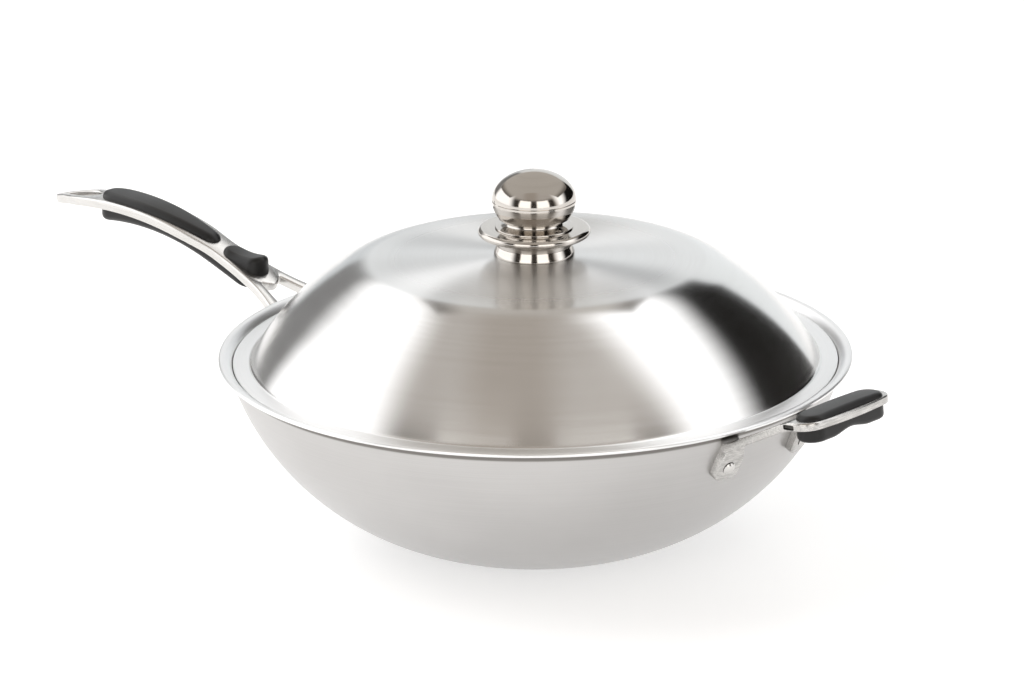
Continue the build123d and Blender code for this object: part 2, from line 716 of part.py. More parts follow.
with BuildPart() as lid_dome:
    with BuildSketch(Plane.XZ) as section:
        with BuildLine():
            outer_foot = draw_dome_face(0, brim_bottom + lid_sheet)
            inner_foot = draw_dome_face(lid_sheet, brim_bottom)
            seat_height = along(crown_centre, crown_arc_radius, crown_start_angle)[1]
            inner_seat_height = along(crown_centre, crown_arc_radius - lid_sheet,
                                      crown_start_angle)[1]
            Line((0, inner_seat_height), (0, seat_height))
            Line((brim_radius, brim_bottom), (brim_radius, brim_bottom + lid_sheet))
        make_face()
        fillet(near(section.vertices(), outer_foot), brim_bend_radius)
        fillet(near(section.vertices(), inner_foot), brim_bend_radius + lid_sheet)
        fillet(section.vertices().group_by(Axis.X)[-1], brim_edge_round)
    revolve(axis=Axis.Z)
    extrude(disc(Plane.XY, knob_screw_radius + screw_gap), amount=tall, mode=Mode.SUBTRACT)
lid_dome.part.label = "lid_dome"
export_step(lid_dome.part, "parts/lid_dome.step")

# ---------------------------------------------------------------- knob
def draw_cap_face(inset):
    """Draw a quarter of the flattened dome that closes the ball, from its middle to its top."""
    radius = ball_radius - inset
    height = ball_upper_height - inset
    Spline((radius, ball_middle),
           (radius * sin(radians(60)), ball_middle + height * cos(radians(60))),
           (radius * sin(radians(30)), ball_middle + height * cos(radians(30))),
           (0, ball_middle + height), tangents=((0, 1), (-1, 0)))


with BuildPart() as knob_foot:
    with BuildSketch(Plane.XZ):
        with BuildLine():
            waist = (foot_waist_radius, lid_base + foot_waist_height)
            cup = foot_waist_radius - foot_wall
            TangentArc(waist, (foot_top_radius, foot_top), tangent=(0, 1))
            Polyline((foot_top_radius, foot_top), (0, foot_top), (0, foot_top - foot_roof),
                     (cup, foot_top - foot_roof), (cup, lid_base), (foot_radius, lid_base), waist)
        make_face()
    revolve(axis=Axis.Z)
    extrude(disc(Plane.XY, knob_screw_radius + screw_gap), amount=tall, mode=Mode.SUBTRACT)
knob_foot.part.label = "knob_foot"
export_step(knob_foot.part, "parts/knob_foot.step")

with BuildPart() as knob_collar:
    extrude(disc(Plane.XY.offset(foot_top), collar_radius), amount=collar_thickness)
    fillet(knob_collar.edges(), collar_round)
    extrude(disc(Plane.XY, knob_screw_radius + screw_gap), amount=tall, mode=Mode.SUBTRACT)
knob_collar.part.label = "knob_collar"
export_step(knob_collar.part, "parts/knob_collar.step")

with BuildPart() as knob_neck:
    with BuildSketch(Plane.XZ):
        with BuildLine():
            waist = (neck_radius, collar_top + neck_waist_height)
            step = (neck_foot_radius, collar_top + neck_step)
            Spline(waist, step, tangents=((0, -1), (1, 0)))
            Polyline(step, (neck_foot_radius, collar_top), (0, collar_top), (0, ball_base),
                     (neck_radius, ball_base), waist)
        make_face()
    revolve(axis=Axis.Z)
    extrude(disc(Plane.XY, knob_screw_radius + screw_gap), amount=tall, mode=Mode.SUBTRACT)
knob_neck.part.label = "knob_neck"
export_step(knob_neck.part, "parts/knob_neck.step")

with BuildPart() as knob_lower_shell:
    with BuildSketch(Plane.XZ):
        with BuildLine():
            band_top = ball_base + ball_band_height
            spigot = ball_radius - ball_sheet - fit_gap
            spigot_inside = spigot - ball_sheet
            TangentArc((ball_radius, ball_middle), (ball_shoulder_radius, band_top),
                       tangent=(0, -1))
            Polyline((ball_shoulder_radius, band_top), (ball_band_radius, band_top),
                     (ball_band_radius, ball_base), (0, ball_base),
                     (0, ball_base + ball_floor), (ball_band_radius - ball_sheet,
                                                   ball_base + ball_floor),
                     (ball_shoulder_radius - ball_sheet, band_top + ball_sheet))
            TangentArc((spigot_inside, ball_middle),
                       (ball_shoulder_radius - ball_sheet, band_top + ball_sheet),
                       tangent=(0, -1))
            Polyline((spigot_inside, ball_middle), (spigot_inside, ball_middle + ball_spigot_height),
                     (spigot - ball_sheet / 2, ball_middle + ball_spigot_height),
                     (spigot, ball_middle), (ball_radius, ball_middle))
        make_face()
    revolve(axis=Axis.Z)
    extrude(disc(Plane.XY, knob_screw_radius + screw_gap), amount=tall, mode=Mode.SUBTRACT)
knob_lower_shell.part.label = "knob_lower_shell"
export_step(knob_lower_shell.part, "parts/knob_lower_shell.step")

with BuildPart() as knob_upper_shell:
    with BuildSketch(Plane.XZ):
        with BuildLine():
            draw_cap_face(0)
            draw_cap_face(ball_sheet)
            Line((ball_radius - ball_sheet, ball_middle), (ball_radius, ball_middle))
            Line((0, ball_middle + ball_upper_height - ball_sheet),
                 (0, ball_middle + ball_upper_height))
        make_face()
    revolve(axis=Axis.Z)
knob_upper_shell.part.label = "knob_upper_shell"
export_step(knob_upper_shell.part, "parts/knob_upper_shell.step")

weld_nut_base = ball_base + ball_floor
knob_washer_top = lid_base - lid_sheet
spring_washer_top = knob_washer_top - knob_washer_thickness
screw_head_top = spring_washer_top - spring_washer_thickness

with BuildPart() as knob_weld_nut:
    with BuildSketch(Plane.XY.offset(weld_nut_base)):
        RegularPolygon(weld_nut_radius, 6)
        Circle(knob_screw_radius + fit_gap, mode=Mode.SUBTRACT)
    extrude(amount=weld_nut_height)
knob_weld_nut.part.label = "knob_weld_nut"
export_step(knob_weld_nut.part, "parts/knob_weld_nut.step")

with BuildPart() as knob_washer:
    extrude(disc(Plane.XY.offset(knob_washer_top), knob_washer_radius,
                 knob_screw_radius + screw_gap), amount=-knob_washer_thickness)
knob_washer.part.label = "knob_washer"
export_step(knob_washer.part, "parts/knob_washer.step")

with BuildPart() as knob_spring_washer:
    extrude(disc(Plane.XY.offset(spring_washer_top), spring_washer_radius,
                 knob_screw_radius + screw_gap), amount=-spring_washer_thickness)
    with BuildSketch(Plane.XY.offset(spring_washer_top)):
        with Locations((spring_washer_radius, 0)):
            Rectangle(2 * spring_washer_radius, spring_washer_thickness)
    extrude(amount=-spring_washer_thickness, mode=Mode.SUBTRACT)
knob_spring_washer.part.label = "knob_spring_washer"
export_step(knob_spring_washer.part, "parts/knob_spring_washer.step")

with BuildPart() as knob_screw:
    extrude(disc(Plane.XY.offset(screw_head_top), knob_screw_radius),
            amount=weld_nut_base + weld_nut_height - screw_head_top)
    extrude(disc(Plane.XY.offset(screw_head_top), knob_screw_head_radius),
            amount=-knob_screw_head_height)
    fillet(knob_screw.edges().group_by(Axis.Z)[0], knob_screw_head_round)
    with BuildSketch(Plane.XY.offset(screw_head_top - knob_screw_head_height)):
        RegularPolygon(knob_screw_socket_radius, 6)
    extrude(amount=knob_screw_socket_depth, mode=Mode.SUBTRACT)
knob_screw.part.label = "knob_screw"
export_step(knob_screw.part, "parts/knob_screw.step")
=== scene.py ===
import json
from math import asin, atan2, cos, degrees, hypot, pi, radians, sin, sqrt, tan

import bpy
from mathutils import Matrix, Vector

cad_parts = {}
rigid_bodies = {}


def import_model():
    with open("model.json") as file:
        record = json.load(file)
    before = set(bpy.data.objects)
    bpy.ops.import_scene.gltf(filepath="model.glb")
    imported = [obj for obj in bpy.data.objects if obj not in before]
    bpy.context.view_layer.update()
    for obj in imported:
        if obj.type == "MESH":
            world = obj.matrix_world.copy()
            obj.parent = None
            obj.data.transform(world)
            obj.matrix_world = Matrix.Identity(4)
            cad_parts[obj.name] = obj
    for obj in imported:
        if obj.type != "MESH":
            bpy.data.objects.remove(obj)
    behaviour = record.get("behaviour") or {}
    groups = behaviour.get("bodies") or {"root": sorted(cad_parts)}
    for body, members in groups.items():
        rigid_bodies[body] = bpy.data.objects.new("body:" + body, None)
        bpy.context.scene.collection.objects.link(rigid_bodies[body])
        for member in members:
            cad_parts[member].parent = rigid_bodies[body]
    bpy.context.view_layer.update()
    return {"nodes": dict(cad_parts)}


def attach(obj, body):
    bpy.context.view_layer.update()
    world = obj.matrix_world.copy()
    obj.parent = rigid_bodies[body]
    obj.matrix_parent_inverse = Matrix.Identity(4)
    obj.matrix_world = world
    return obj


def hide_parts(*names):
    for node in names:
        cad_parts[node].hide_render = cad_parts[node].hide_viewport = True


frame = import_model()
nodes = frame["nodes"]
mm = 0.001   # sizes below are in millimetres, Blender works in metres
fitGap = 0.06   # room left between parts that lie on each other
print("frame loaded,", len(nodes), "nodes")


# ---- drawing: lists of points

def arcPoints(centre, radius, start, end, count):
    # start and end are angles in degrees
    turns = [radians(start + (end - start) * i / count) for i in range(count + 1)]
    return [(centre[0] + radius * cos(a), centre[1] + radius * sin(a)) for a in turns]


def curveThrough(points, perSpan):
    # smooth curve through points; it meets the centre line (y = 0) at a right angle
    def beyond(end, second):
        if abs(end[1]) < 0.001:
            return (second[0], -second[1])
        return (2 * end[0] - second[0], 2 * end[1] - second[1])
    path = [beyond(points[0], points[1])] + list(points) + [beyond(points[-1], points[-2])]
    curve = []
    for a, b, c, d in zip(path, path[1:], path[2:], path[3:]):
        for i in range(perSpan):
            t = i / perSpan
            curve.append(tuple(0.5 * (2 * b[k] + (c[k] - a[k]) * t
                                      + (2 * a[k] - 5 * b[k] + 4 * c[k] - d[k]) * t * t
                                      + (3 * b[k] - a[k] - 3 * c[k] + d[k]) * t ** 3)
                               for k in (0, 1)))
    return curve + [tuple(points[-1])]


def softCorner(start, corner, end, count):
    # from start to end, drawn towards the corner
    return [tuple((1 - t) ** 2 * a + 2 * t * (1 - t) * b + t * t * c
                  for a, b, c in zip(start, corner, end))
            for t in [i / count for i in range(count + 1)]]


def alongMiddle(start, end, count):
    return [(start + (end - start) * i / count, 0) for i in range(count + 1)]


def spreadEvenly(points, count):
    # the same line, cut into equal lengths
    reach = [0.0]
    for a, b in zip(points, points[1:]):
        reach.append(reach[-1] + hypot(b[0] - a[0], b[1] - a[1]))
    spread, at = [], 0
    for i in range(count + 1):
        goal = reach[-1] * i / count
        while at < len(points) - 2 and reach[at + 1] < goal:
            at += 1
        span = reach[at + 1] - reach[at]
        t = (goal - reach[at]) / span if span else 0
        a, b = points[at], points[at + 1]
        spread.append((a[0] + (b[0] - a[0]) * t, a[1] + (b[1] - a[1]) * t))
    return spread


def cutBetween(points, low, high):
    # the stretch of a line whose first coordinate lies between two places
    def at(place):
        for a, b in zip(points, points[1:]):
            if a[0] <= place <= b[0]:
                t = (place - a[0]) / (b[0] - a[0] or 1)
                return (place, a[1] + (b[1] - a[1]) * t)
        return tuple(points[0] if place < points[0][0] else points[-1])
    return [at(low)] + [p for p in points if low < p[0] < high] + [at(high)]


def insetOutline(outline, inset):
    # outline of (along, half width) from tip to tip, moved inwards
    moved = []
    for i, (along, half) in enumerate(outline):
        before = outline[i - 1] if i else (outline[1][0], -outline[1][1])
        after = outline[i + 1] if i < len(outline) - 1 else (outline[-2][0], -outline[-2][1])
        run, spread = after[0] - before[0], after[1] - before[1]
        step = inset / hypot(run, spread)
        moved.append((along + spread * step, max(half - run * step, 0)))
    return moved


# ---- modelling in edit mode

def beginPiece(name):
    bpy.ops.object.select_all(action="DESELECT")
    bpy.ops.mesh.primitive_plane_add(size=mm)
    piece = bpy.context.object
    piece.name = piece.data.name = name
    bpy.ops.object.mode_set(mode="EDIT")
    bpy.ops.mesh.delete(type="VERT")
    return piece


def traceLine(points):
    # one vertex, extruded from point to point
    path = [Vector(p) * mm for p in points]
    bpy.ops.mesh.select_all(action="DESELECT")
    bpy.ops.mesh.primitive_plane_add(size=mm, location=path[0])
    bpy.ops.mesh.merge(type="CENTER")
    for here, there in zip(path, path[1:]):
        bpy.ops.mesh.extrude_region_move(TRANSFORM_OT_translate={"value": there - here})
    bpy.ops.mesh.select_linked()


def layRibbon(first, second, length, cuts=0):
    # a strip of faces between two lines of equal length, counted in the order they were traced
    bpy.ops.object.mode_set(mode="OBJECT")
    mesh = bpy.context.object.data
    for face in mesh.polygons:
        face.select = False
    for vertex in mesh.vertices:
        vertex.select = vertex.index // length in (first, second)
    for edge in mesh.edges:
        ends = [i // length for i in edge.vertices]
        edge.select = ends[0] == ends[1] and ends[0] in (first, second)
    bpy.ops.object.mode_set(mode="EDIT")
    bpy.ops.mesh.bridge_edge_loops(number_cuts=cuts, interpolation="LINEAR")


def endPiece(piece, merge=0.004):
    bpy.ops.mesh.select_all(action="SELECT")
    bpy.ops.mesh.remove_doubles(threshold=merge * mm)
    bpy.ops.mesh.normals_make_consistent(inside=False)
    bpy.ops.object.mode_set(mode="OBJECT")
    return piece


def turnPiece(name, profile, steps=160):
    # a profile of (radius, height) spun round the axis
    piece = beginPiece(name)
    traceLine([(r, 0, z) for r, z in profile])
    bpy.ops.mesh.spin(steps=steps, angle=2 * pi, center=(0, 0, 0), axis=(0, 0, 1))
    return endPiece(piece)


def layShell(name, outline, low, high, place, roundLow=0.0, roundHigh=0.0, crown=1.0, steps=6):
    # a closed body of stacked outlines, low and high being heights along it;
    # the outlines shrink towards a rounded face, crown times as far as it is round,
    # and place turns them into points
    levels = []
    for turn in ([90 * i / steps for i in range(steps, -1, -1)] if roundLow else [0]):
        rise = roundLow * (1 - sin(radians(turn)))
        shrink = roundLow * crown * (1 - cos(radians(turn)))
        levels.append([(a, w, low(a) + rise) for a, w in insetOutline(outline, shrink)])
    for turn in ([90 * i / steps for i in range(steps + 1)] if roundHigh else [0]):
        drop = roundHigh * (1 - sin(radians(turn)))
        shrink = roundHigh * crown * (1 - cos(radians(turn)))
        levels.append([(a, w, high(a) - drop) for a, w in insetOutline(outline, shrink)])
    piece = beginPiece(name)
    for level in levels:
        traceLine([place(a, w, h) for a, w, h in level])
        traceLine([place(a, -w, h) for a, w, h in level])
    count, last = len(outline), 2 * len(levels) - 1
    for line in range(last - 1):
        layRibbon(line, line + 2, count)
    layRibbon(0, 1, count)
    layRibbon(last - 1, last, count)
    return endPiece(piece)


def choose(piece):
    bpy.ops.object.select_all(action="DESELECT")
    piece.select_set(True)
    bpy.context.view_layer.objects.active = piece


def modify(piece, kind, **settings):
    choose(piece)
    modifier = piece.modifiers.new(kind.lower(), kind)
    for key, value in settings.items():
        setattr(modifier, key, value)
    bpy.ops.object.modifier_apply(modifier=modifier.name)


def discard(piece):
    bpy.data.objects.remove(piece, do_unlink=True)


def joinTo(piece, others):
    choose(piece)
    for other in others:
        other.select_set(True)
    bpy.ops.object.join()


# ---- shader maths

class Wire:
    # one output socket; sums with numbers or other wires add Math nodes
    def __init__(self, tree, socket=None):
        self.tree, self.socket = tree, socket

    def add(self, kind, settings=None, sockets=None, out=0):
        node = self.tree.nodes.new("ShaderNode" + kind)
        for key, value in (settings or {}).items():
            setattr(node, key, value)
        for key, value in (sockets or {}).items():
            if isinstance(value, Wire):
                self.tree.links.new(value.socket, node.inputs[key])
            else:
                node.inputs[key].default_value = value
        return Wire(self.tree, node.outputs[out] if len(node.outputs) else None)

    def math(self, operation, first, second=0.0):
        return self.add("Math", {"operation": operation}, {0: first, 1: second})

    def __add__(self, other):
        return self.math("ADD", self, other)

    def __radd__(self, other):
        return self.math("ADD", other, self)

    def __sub__(self, other):
        return self.math("SUBTRACT", self, other)

    def __rsub__(self, other):
        return self.math("SUBTRACT", other, self)

    def __mul__(self, other):
        return self.math("MULTIPLY", self, other)

    def __rmul__(self, other):
        return self.math("MULTIPLY", other, self)

    def __truediv__(self, other):
        return self.math("DIVIDE", self, other)

    def __pow__(self, other):
        return self.math("POWER", self, other)

    def smooth(self, low, high):
        # 0 below low, 1 above high; low may be the larger
        if low > high:
            return 1 - self.smooth(high, low)
        return self.add("MapRange", {"interpolation_type": "SMOOTHSTEP"},
                        {"Value": self, "From Min": low, "From Max": high})

    def window(self, low, high, soft):
        # 1 between low and high, 0 outside them
        return self.smooth(low - soft, low + soft) * self.smooth(high + soft, high - soft)


def blankTree(owner):
    owner.use_nodes = True
    owner.node_tree.nodes.clear()
    return Wire(owner.node_tree)


def objectPlace(draw):
    # Object coordinates, in metres
    return draw.add("TexCoord", out=3)


def splitAxes(draw, vector):
    node = draw.add("SeparateXYZ", None, {0: vector}).socket.node
    return [Wire(draw.tree, node.outputs[i]) for i in range(3)]


def fineNoise(draw, vector, scale, detail=3.0, rough=0.55):
    return draw.add("TexNoise", {"noise_dimensions": "3D"},
                    {"Vector": vector, "Scale": scale, "Detail": detail, "Roughness": rough})


def addBump(draw, height, strength, depth=0.0002):
    # depth in metres
    return draw.add("Bump", None, {"Strength": strength, "Distance": depth, "Height": height})


def finishMaterial(draw, colour, metallic, roughness, normal=None, **extra):
    sockets = {"Base Color": colour, "Metallic": metallic, "Roughness": roughness}
    sockets.update({key.replace("_", " "): value for key, value in extra.items()})
    if normal:
        sockets["Normal"] = normal
    surface = draw.add("BsdfPrincipled", None, sockets)
    draw.add("OutputMaterial", None, {"Surface": surface})


def mixColour(draw, share, first, second):
    return draw.add("Mix", {"data_type": "RGBA"}, {0: share, 6: first, 7: second}, out=2)


# ---- steel finishes, one row each: colours of low and high spots, roughness, its spread,
# ring scratches per metre across the grinding, bump strength, and how far the grinding
# stretches reflections

toneFrom, toneTo = 0.3, 0.7   # stretch of the noise that runs from the dark to the light colour
steelFinishes = {
    "satinSteel": {"dark": (0.505, 0.497, 0.491, 1), "light": (0.55, 0.542, 0.535, 1),
                   "roughness": 0.34, "spread": 0.05, "rings": 1900, "bump": 0.05,
                   # shade, between the heights shadeFrom and shadeTo, is painted shade under the
                   # lip
                   "stretch": 0.5, "shadeFrom": 0.1106, "shadeTo": 0.112,
                   "shade": (0.20, 0.19, 0.18, 1)},
    "lidSteel": {"dark": (0.70, 0.692, 0.680, 1), "light": (0.735, 0.73, 0.722, 1),
                 "roughness": 0.19, "spread": 0.02, "rings": 1400, "bump": 0.004,
                 "stretch": 0.92, "dullReach": 0.102, "dullWhole": 0.08, "dull": 0.1},
    # lipSteel is a brighter copy of the steel: partly the lip's polish, partly painted highlight
    "lipSteel": {"dark": (0.84, 0.842, 0.84, 1), "light": (0.88, 0.882, 0.88, 1),
                 "roughness": 0.36, "spread": 0.03, "rings": 1200, "bump": 0.006,
                 "stretch": 0.3},
    "knobSteel": {"dark": (0.55, 0.52, 0.485, 1), "light": (0.60, 0.57, 0.535, 1),
                  "roughness": 0.1, "spread": 0.02, "rings": 900, "bump": 0.006,
                  "stretch": 0.0},
}
ringDrift, steelCloud = 9, 14.0   # noise scales along the rings and of the blotches


def makeTurnedSteel(name):
    # steel with fine rings round the axis, as a lathe or a spinning wheel leaves them
    finish = steelFinishes[name]
    material = bpy.data.materials.new(name)
    draw = blankTree(material)
    place = objectPlace(draw)
    x, y, z = splitAxes(draw, place)
    reach = draw.math("SQRT", x * x + y * y)   # from the axis
    track = (reach + z) * finish["rings"]
    ringPlace = draw.add("CombineXYZ", None, {0: x * ringDrift, 1: y * ringDrift, 2: track})
    rings = fineNoise(draw, ringPlace, 1.0, detail=2.0)
    cloud = fineNoise(draw, place, steelCloud)
    tone = mixColour(draw, (rings * 0.5 + cloud * 0.5).smooth(toneFrom, toneTo),
                     finish["dark"], finish["light"])
    if "shade" in finish:
        # painted shade: a dark band under the lip, where shade falls on the flare's underside
        tone = mixColour(draw, z.smooth(finish["shadeFrom"], finish["shadeTo"]), tone,
                         finish["shade"])
    roughness = (rings - 0.5) * finish["spread"] + (cloud - 0.5) * finish["spread"] \
        + finish["roughness"]
    if "dull" in finish:
        # the middle is ground less finely
        roughness = roughness \
            + reach.smooth(finish["dullReach"], finish["dullWhole"]) * finish["dull"]
    finishMaterial(draw, tone, 1.0, roughness, addBump(draw, rings, finish["bump"]),
                   Anisotropic=finish["stretch"], Anisotropic_Rotation=0.25)
    return material


satinSteel, lidSteel, lipSteel, knobSteel = (makeTurnedSteel(name) for name in steelFinishes)

# grain is the noise scale across the brushing and along is the one along it
castFinish = {"dark": (0.60, 0.588, 0.57, 1), "light": (0.67, 0.658, 0.64, 1),
              "roughness": 0.25, "grain": 1560.0, "along": 12.0, "cloud": 60.0, "bump": 0.05,
              "grainSpread": 0.06, "cloudSpread": 0.08}


def makeCastSteel(name, finish, alongX):
    # polished casting, brushed along the handle
    material = bpy.data.materials.new(name)
    draw = blankTree(material)
    place = objectPlace(draw)
    stretch = (finish["along"], finish["grain"], finish["grain"]) if alongX else \
        (finish["grain"], finish["along"], finish["grain"])
    grainPlace = draw.add("Mapping", {"vector_type": "POINT"}, {"Vector": place, "Scale": stretch})
    grain = fineNoise(draw, grainPlace, 1.0, detail=2.0)
    cloud = fineNoise(draw, place, finish["cloud"])
    tone = mixColour(draw, (grain * 0.6 + cloud * 0.4).smooth(toneFrom, toneTo),
                     finish["dark"], finish["light"])
    roughness = (grain - 0.5) * finish["grainSpread"] + (cloud - 0.5) * finish["cloudSpread"] \
        + finish["roughness"]
    finishMaterial(draw, tone, 1.0, roughness, addBump(draw, grain, finish["bump"]))
    return material


handleSteel = makeCastSteel("handleSteel", castFinish, True)
# painted shade: the helper handle's copy of the cast steel is darker, on the side away from the
# lamp
helperSteel = makeCastSteel("helperSteel", dict(castFinish, dark=(0.40, 0.392, 0.38, 1),
                                                light=(0.64, 0.628, 0.61, 1)), False)
rivetSteel = makeCastSteel("rivetSteel", dict(castFinish, roughness=0.2, grain=720.0), True)
fastenerSteel = makeCastSteel("fastenerSteel", dict(castFinish, roughness=0.3), True)
# painted shade for the helper's slots: a near-black copy of the cast steel
recessShadeSteel = makeCastSteel("recessShadeSteel", dict(castFinish, dark=(0.07, 0.068, 0.065, 1),
                                                light=(0.12, 0.116, 0.11, 1), roughness=0.5), True)
insertBrass = makeCastSteel("insertBrass", dict(castFinish, dark=(0.62, 0.46, 0.22, 1),
                                                light=(0.74, 0.58, 0.30, 1)), False)

gripFinish = {"low": (0.0045, 0.0043, 0.0041, 1), "high": (0.009, 0.0087, 0.0084, 1),
              "roughness": 0.38, "grain": 2200.0, "grainRough": 0.6, "cloud": 45.0,
              "toneFrom": 0.3, "toneTo": 0.75, "grainSpread": 0.1, "wear": 0.14, "bump": 0.2,
              "bumpDepth": 0.0001, "shine": 0.34}


def makeGripBlack():
    # moulded black plastic with a fine matt grain, a little smoother where hands rub it
    material = bpy.data.materials.new("gripBlack")
    draw = blankTree(material)
    place = objectPlace(draw)
    grain = fineNoise(draw, place, gripFinish["grain"], 2.0, gripFinish["grainRough"])
    cloud = fineNoise(draw, place, gripFinish["cloud"])
    tone = mixColour(draw, (grain * 0.4 + cloud * 0.6).smooth(gripFinish["toneFrom"],
                                                              gripFinish["toneTo"]),
                     gripFinish["low"], gripFinish["high"])
    roughness = gripFinish["roughness"] + (grain - 0.5) * gripFinish["grainSpread"] \
        - (cloud - 0.5) * gripFinish["wear"]
    bump = addBump(draw, grain, gripFinish["bump"], gripFinish["bumpDepth"])
    finishMaterial(draw, tone, 0.0, roughness, bump, Specular_IOR_Level=gripFinish["shine"])
    return material


gripBlack = makeGripBlack()
print("finishes made")


def dress(piece, material, body, node, sharpAngle=40):
    choose(piece)
    bpy.ops.object.shade_smooth_by_angle(angle=radians(sharpAngle))
    piece.data.materials.clear()
    piece.data.materials.append(material)
    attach(piece, body)
    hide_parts(node)
    print("  piece", piece.name, len(piece.data.polygons), "faces")


# ---- bowl

bowl = {"rimHeight": 118.0, "rimRadius": 195.0, "baseRadius": 61.5, "wallArc": 161.5,
        "sheet": 2.5, "flare": 4.0, "lip": 2.3, "edgeRound": 1.15, "baseBend": 24.0,
        "baseRings": (20, 45), "steps": 256, "brightOver": 6.0, "brightUnder": 2.6,
        "brightLean": -0.3}
rimRadius, rimHeight = bowl["rimRadius"], bowl["rimHeight"]
flareCentre = (rimRadius - bowl["lip"], rimHeight - bowl["sheet"] - bowl["flare"])
chord = hypot(flareCentre[0] - bowl["baseRadius"], flareCentre[1])
chordTurn = atan2(flareCentre[1], flareCentre[0] - bowl["baseRadius"])
share = (bowl["wallArc"] ** 2 - (bowl["wallArc"] + bowl["flare"]) ** 2 + chord ** 2) / (2 * chord)
offset = sqrt(bowl["wallArc"] ** 2 - share ** 2)
wallCentre = (bowl["baseRadius"] + share * cos(chordTurn) - offset * sin(chordTurn),
              share * sin(chordTurn) + offset * cos(chordTurn))
flareTurn = degrees(asin((flareCentre[1] - wallCentre[1]) / (bowl["wallArc"] + bowl["flare"])))


def bowlFace(inset):
    # base, bend, wall and flare of one face of the sheet, from the middle out
    arc, bend = bowl["wallArc"] - inset, bowl["baseBend"] - inset
    bendHeight = bowl["baseBend"]
    reach = arc - bend
    bendCentre = (wallCentre[0] + sqrt(reach ** 2 - (wallCentre[1] - bendHeight) ** 2), bendHeight)
    bendTurn = degrees(atan2(bendCentre[1] - wallCentre[1], bendCentre[0] - wallCentre[0]))
    points = [(ring, inset) for ring in (0, *bowl["baseRings"])]
    points += arcPoints(bendCentre, bend, -90, bendTurn, 6)
    points += arcPoints(wallCentre, arc, bendTurn, flareTurn, 56)[1:]
    points += arcPoints(flareCentre, bowl["flare"] + inset, 180 + flareTurn, 90, 14)[1:]
    return points


def bowlProfile():
    edge = bowl["edgeRound"]
    low, high = rimHeight - bowl["sheet"], rimHeight
    lip = arcPoints((rimRadius - edge, low + edge), edge, -90, 0, 5) \
        + arcPoints((rimRadius - edge, high - edge), edge, 0, 90, 5)
    return bowlFace(0) + lip + bowlFace(bowl["sheet"])[::-1]


bowlPiece = turnPiece("bowlSheet", bowlProfile(), bowl["steps"])
dress(bowlPiece, satinSteel, "pan", "bowl", sharpAngle=50)
bowlPiece.data.materials.append(lipSteel)
for face in bowlPiece.data.polygons:
    # the lip and the flare's upper side take the brighter lipSteel: partly their polish, partly
    # painted highlight on the upward faces
    face.material_index = int(face.center.z > (rimHeight - bowl["brightOver"]) * mm
                              and (face.normal.z > bowl["brightLean"]
                                   or face.center.z > (rimHeight - bowl["brightUnder"]) * mm))
print("bowl turned")


# ---- lid

lid = {"crown": 62.5, "seatRadius": 26.0, "crownArc": 1300.0, "crownEdge": 100.0,
       "shoulderArc": 45.0, "shoulderEnd": 31.0, "skirtArc": 160.0, "sheet": 1.2,
       "brimDrop": 3.4, "brimBend": 3.0, "edgeRound": 0.48, "seatGap": 0.3, "seatRing": 14,
       "steps": 256, "brightOver": 0.4}
lidBase = rimHeight + lid["crown"]
brimBottom = rimHeight - lid["brimDrop"] - lid["sheet"]
brimRadius = flareCentre[0] - sqrt((bowl["flare"] + bowl["sheet"] + lid["seatGap"]) ** 2
                                   - (brimBottom - flareCentre[1]) ** 2)
crownTurns = [degrees(asin(lid[key] / lid["crownArc"])) for key in ("seatRadius", "crownEdge")]
crownCentre = (0, lidBase - lid["crownArc"] * cos(radians(crownTurns[0])))


def lean(centre, radius, turn):
    # point of an arc, with its turn measured from the vertical
    return (centre[0] + radius * sin(radians(turn)), centre[1] + radius * cos(radians(turn)))


shoulderCentre = lean(crownCentre, lid["crownArc"] - lid["shoulderArc"], crownTurns[1])
skirtCentre = lean(shoulderCentre, lid["shoulderArc"] - lid["skirtArc"], lid["shoulderEnd"])


def lidFace(inset):
    # seat, crown, shoulder, skirt and brim of one face of the sheet, from the middle out
    bend = lid["brimBend"] + inset
    bendHeight = brimBottom + lid["sheet"] + lid["brimBend"]
    bendReach = lid["skirtArc"] + lid["brimBend"]
    bendCentre = (skirtCentre[0] + sqrt(bendReach ** 2 - (bendHeight - skirtCentre[1]) ** 2),
                  bendHeight)
    skirtTurn = degrees(atan2(bendCentre[1] - skirtCentre[1], bendCentre[0] - skirtCentre[0]))
    points = [(0, lidBase - inset), (lid["seatRing"], lidBase - inset)]
    points += arcPoints(crownCentre, lid["crownArc"] - inset, 90 - crownTurns[0],
                        90 - crownTurns[1], 18)
    points += arcPoints(shoulderCentre, lid["shoulderArc"] - inset, 90 - crownTurns[1],
                        90 - lid["shoulderEnd"], 22)[1:]
    points += arcPoints(skirtCentre, lid["skirtArc"] - inset, 90 - lid["shoulderEnd"],
                        skirtTurn, 60)[1:]
    points += arcPoints(bendCentre, bend, 180 + skirtTurn, 270, 10)[1:]
    return points


def lidProfile():
    edge, top, bottom = lid["edgeRound"], brimBottom + lid["sheet"], brimBottom
    brim = arcPoints((brimRadius - edge, top - edge), edge, 90, 0, 4) \
        + arcPoints((brimRadius - edge, bottom + edge), edge, 0, -90, 4)
    return lidFace(0) + brim + lidFace(lid["sheet"])[::-1]


lidPiece = turnPiece("lidSheet", lidProfile(), lid["steps"])
dress(lidPiece, lidSteel, "lid", "lid_dome", sharpAngle=50)
lidPiece.data.materials.append(lipSteel)
for face in lidPiece.data.polygons:
    # the brim takes the bowl lip's brighter steel: partly polish, partly painted highlight
    face.material_index = int(face.center.z < (brimBottom + lid["sheet"] + lid["brightOver"]) * mm)
print("lid turned")


# ---- knob, heights above the seat on the lid

knob = {"footHeight": 12.1, "collarThick": 4.8, "collarRadius": 34.5, "neckHeight": 4.1,
        "ballLower": 13.5, "ballUpper": 18.2, "ballRadius": 25.9, "seamGroove": 0.3,
        "steps": 128, "sharpAngle": 32}


def lift(points, base):
    return [(r, z + base) for r, z in points]


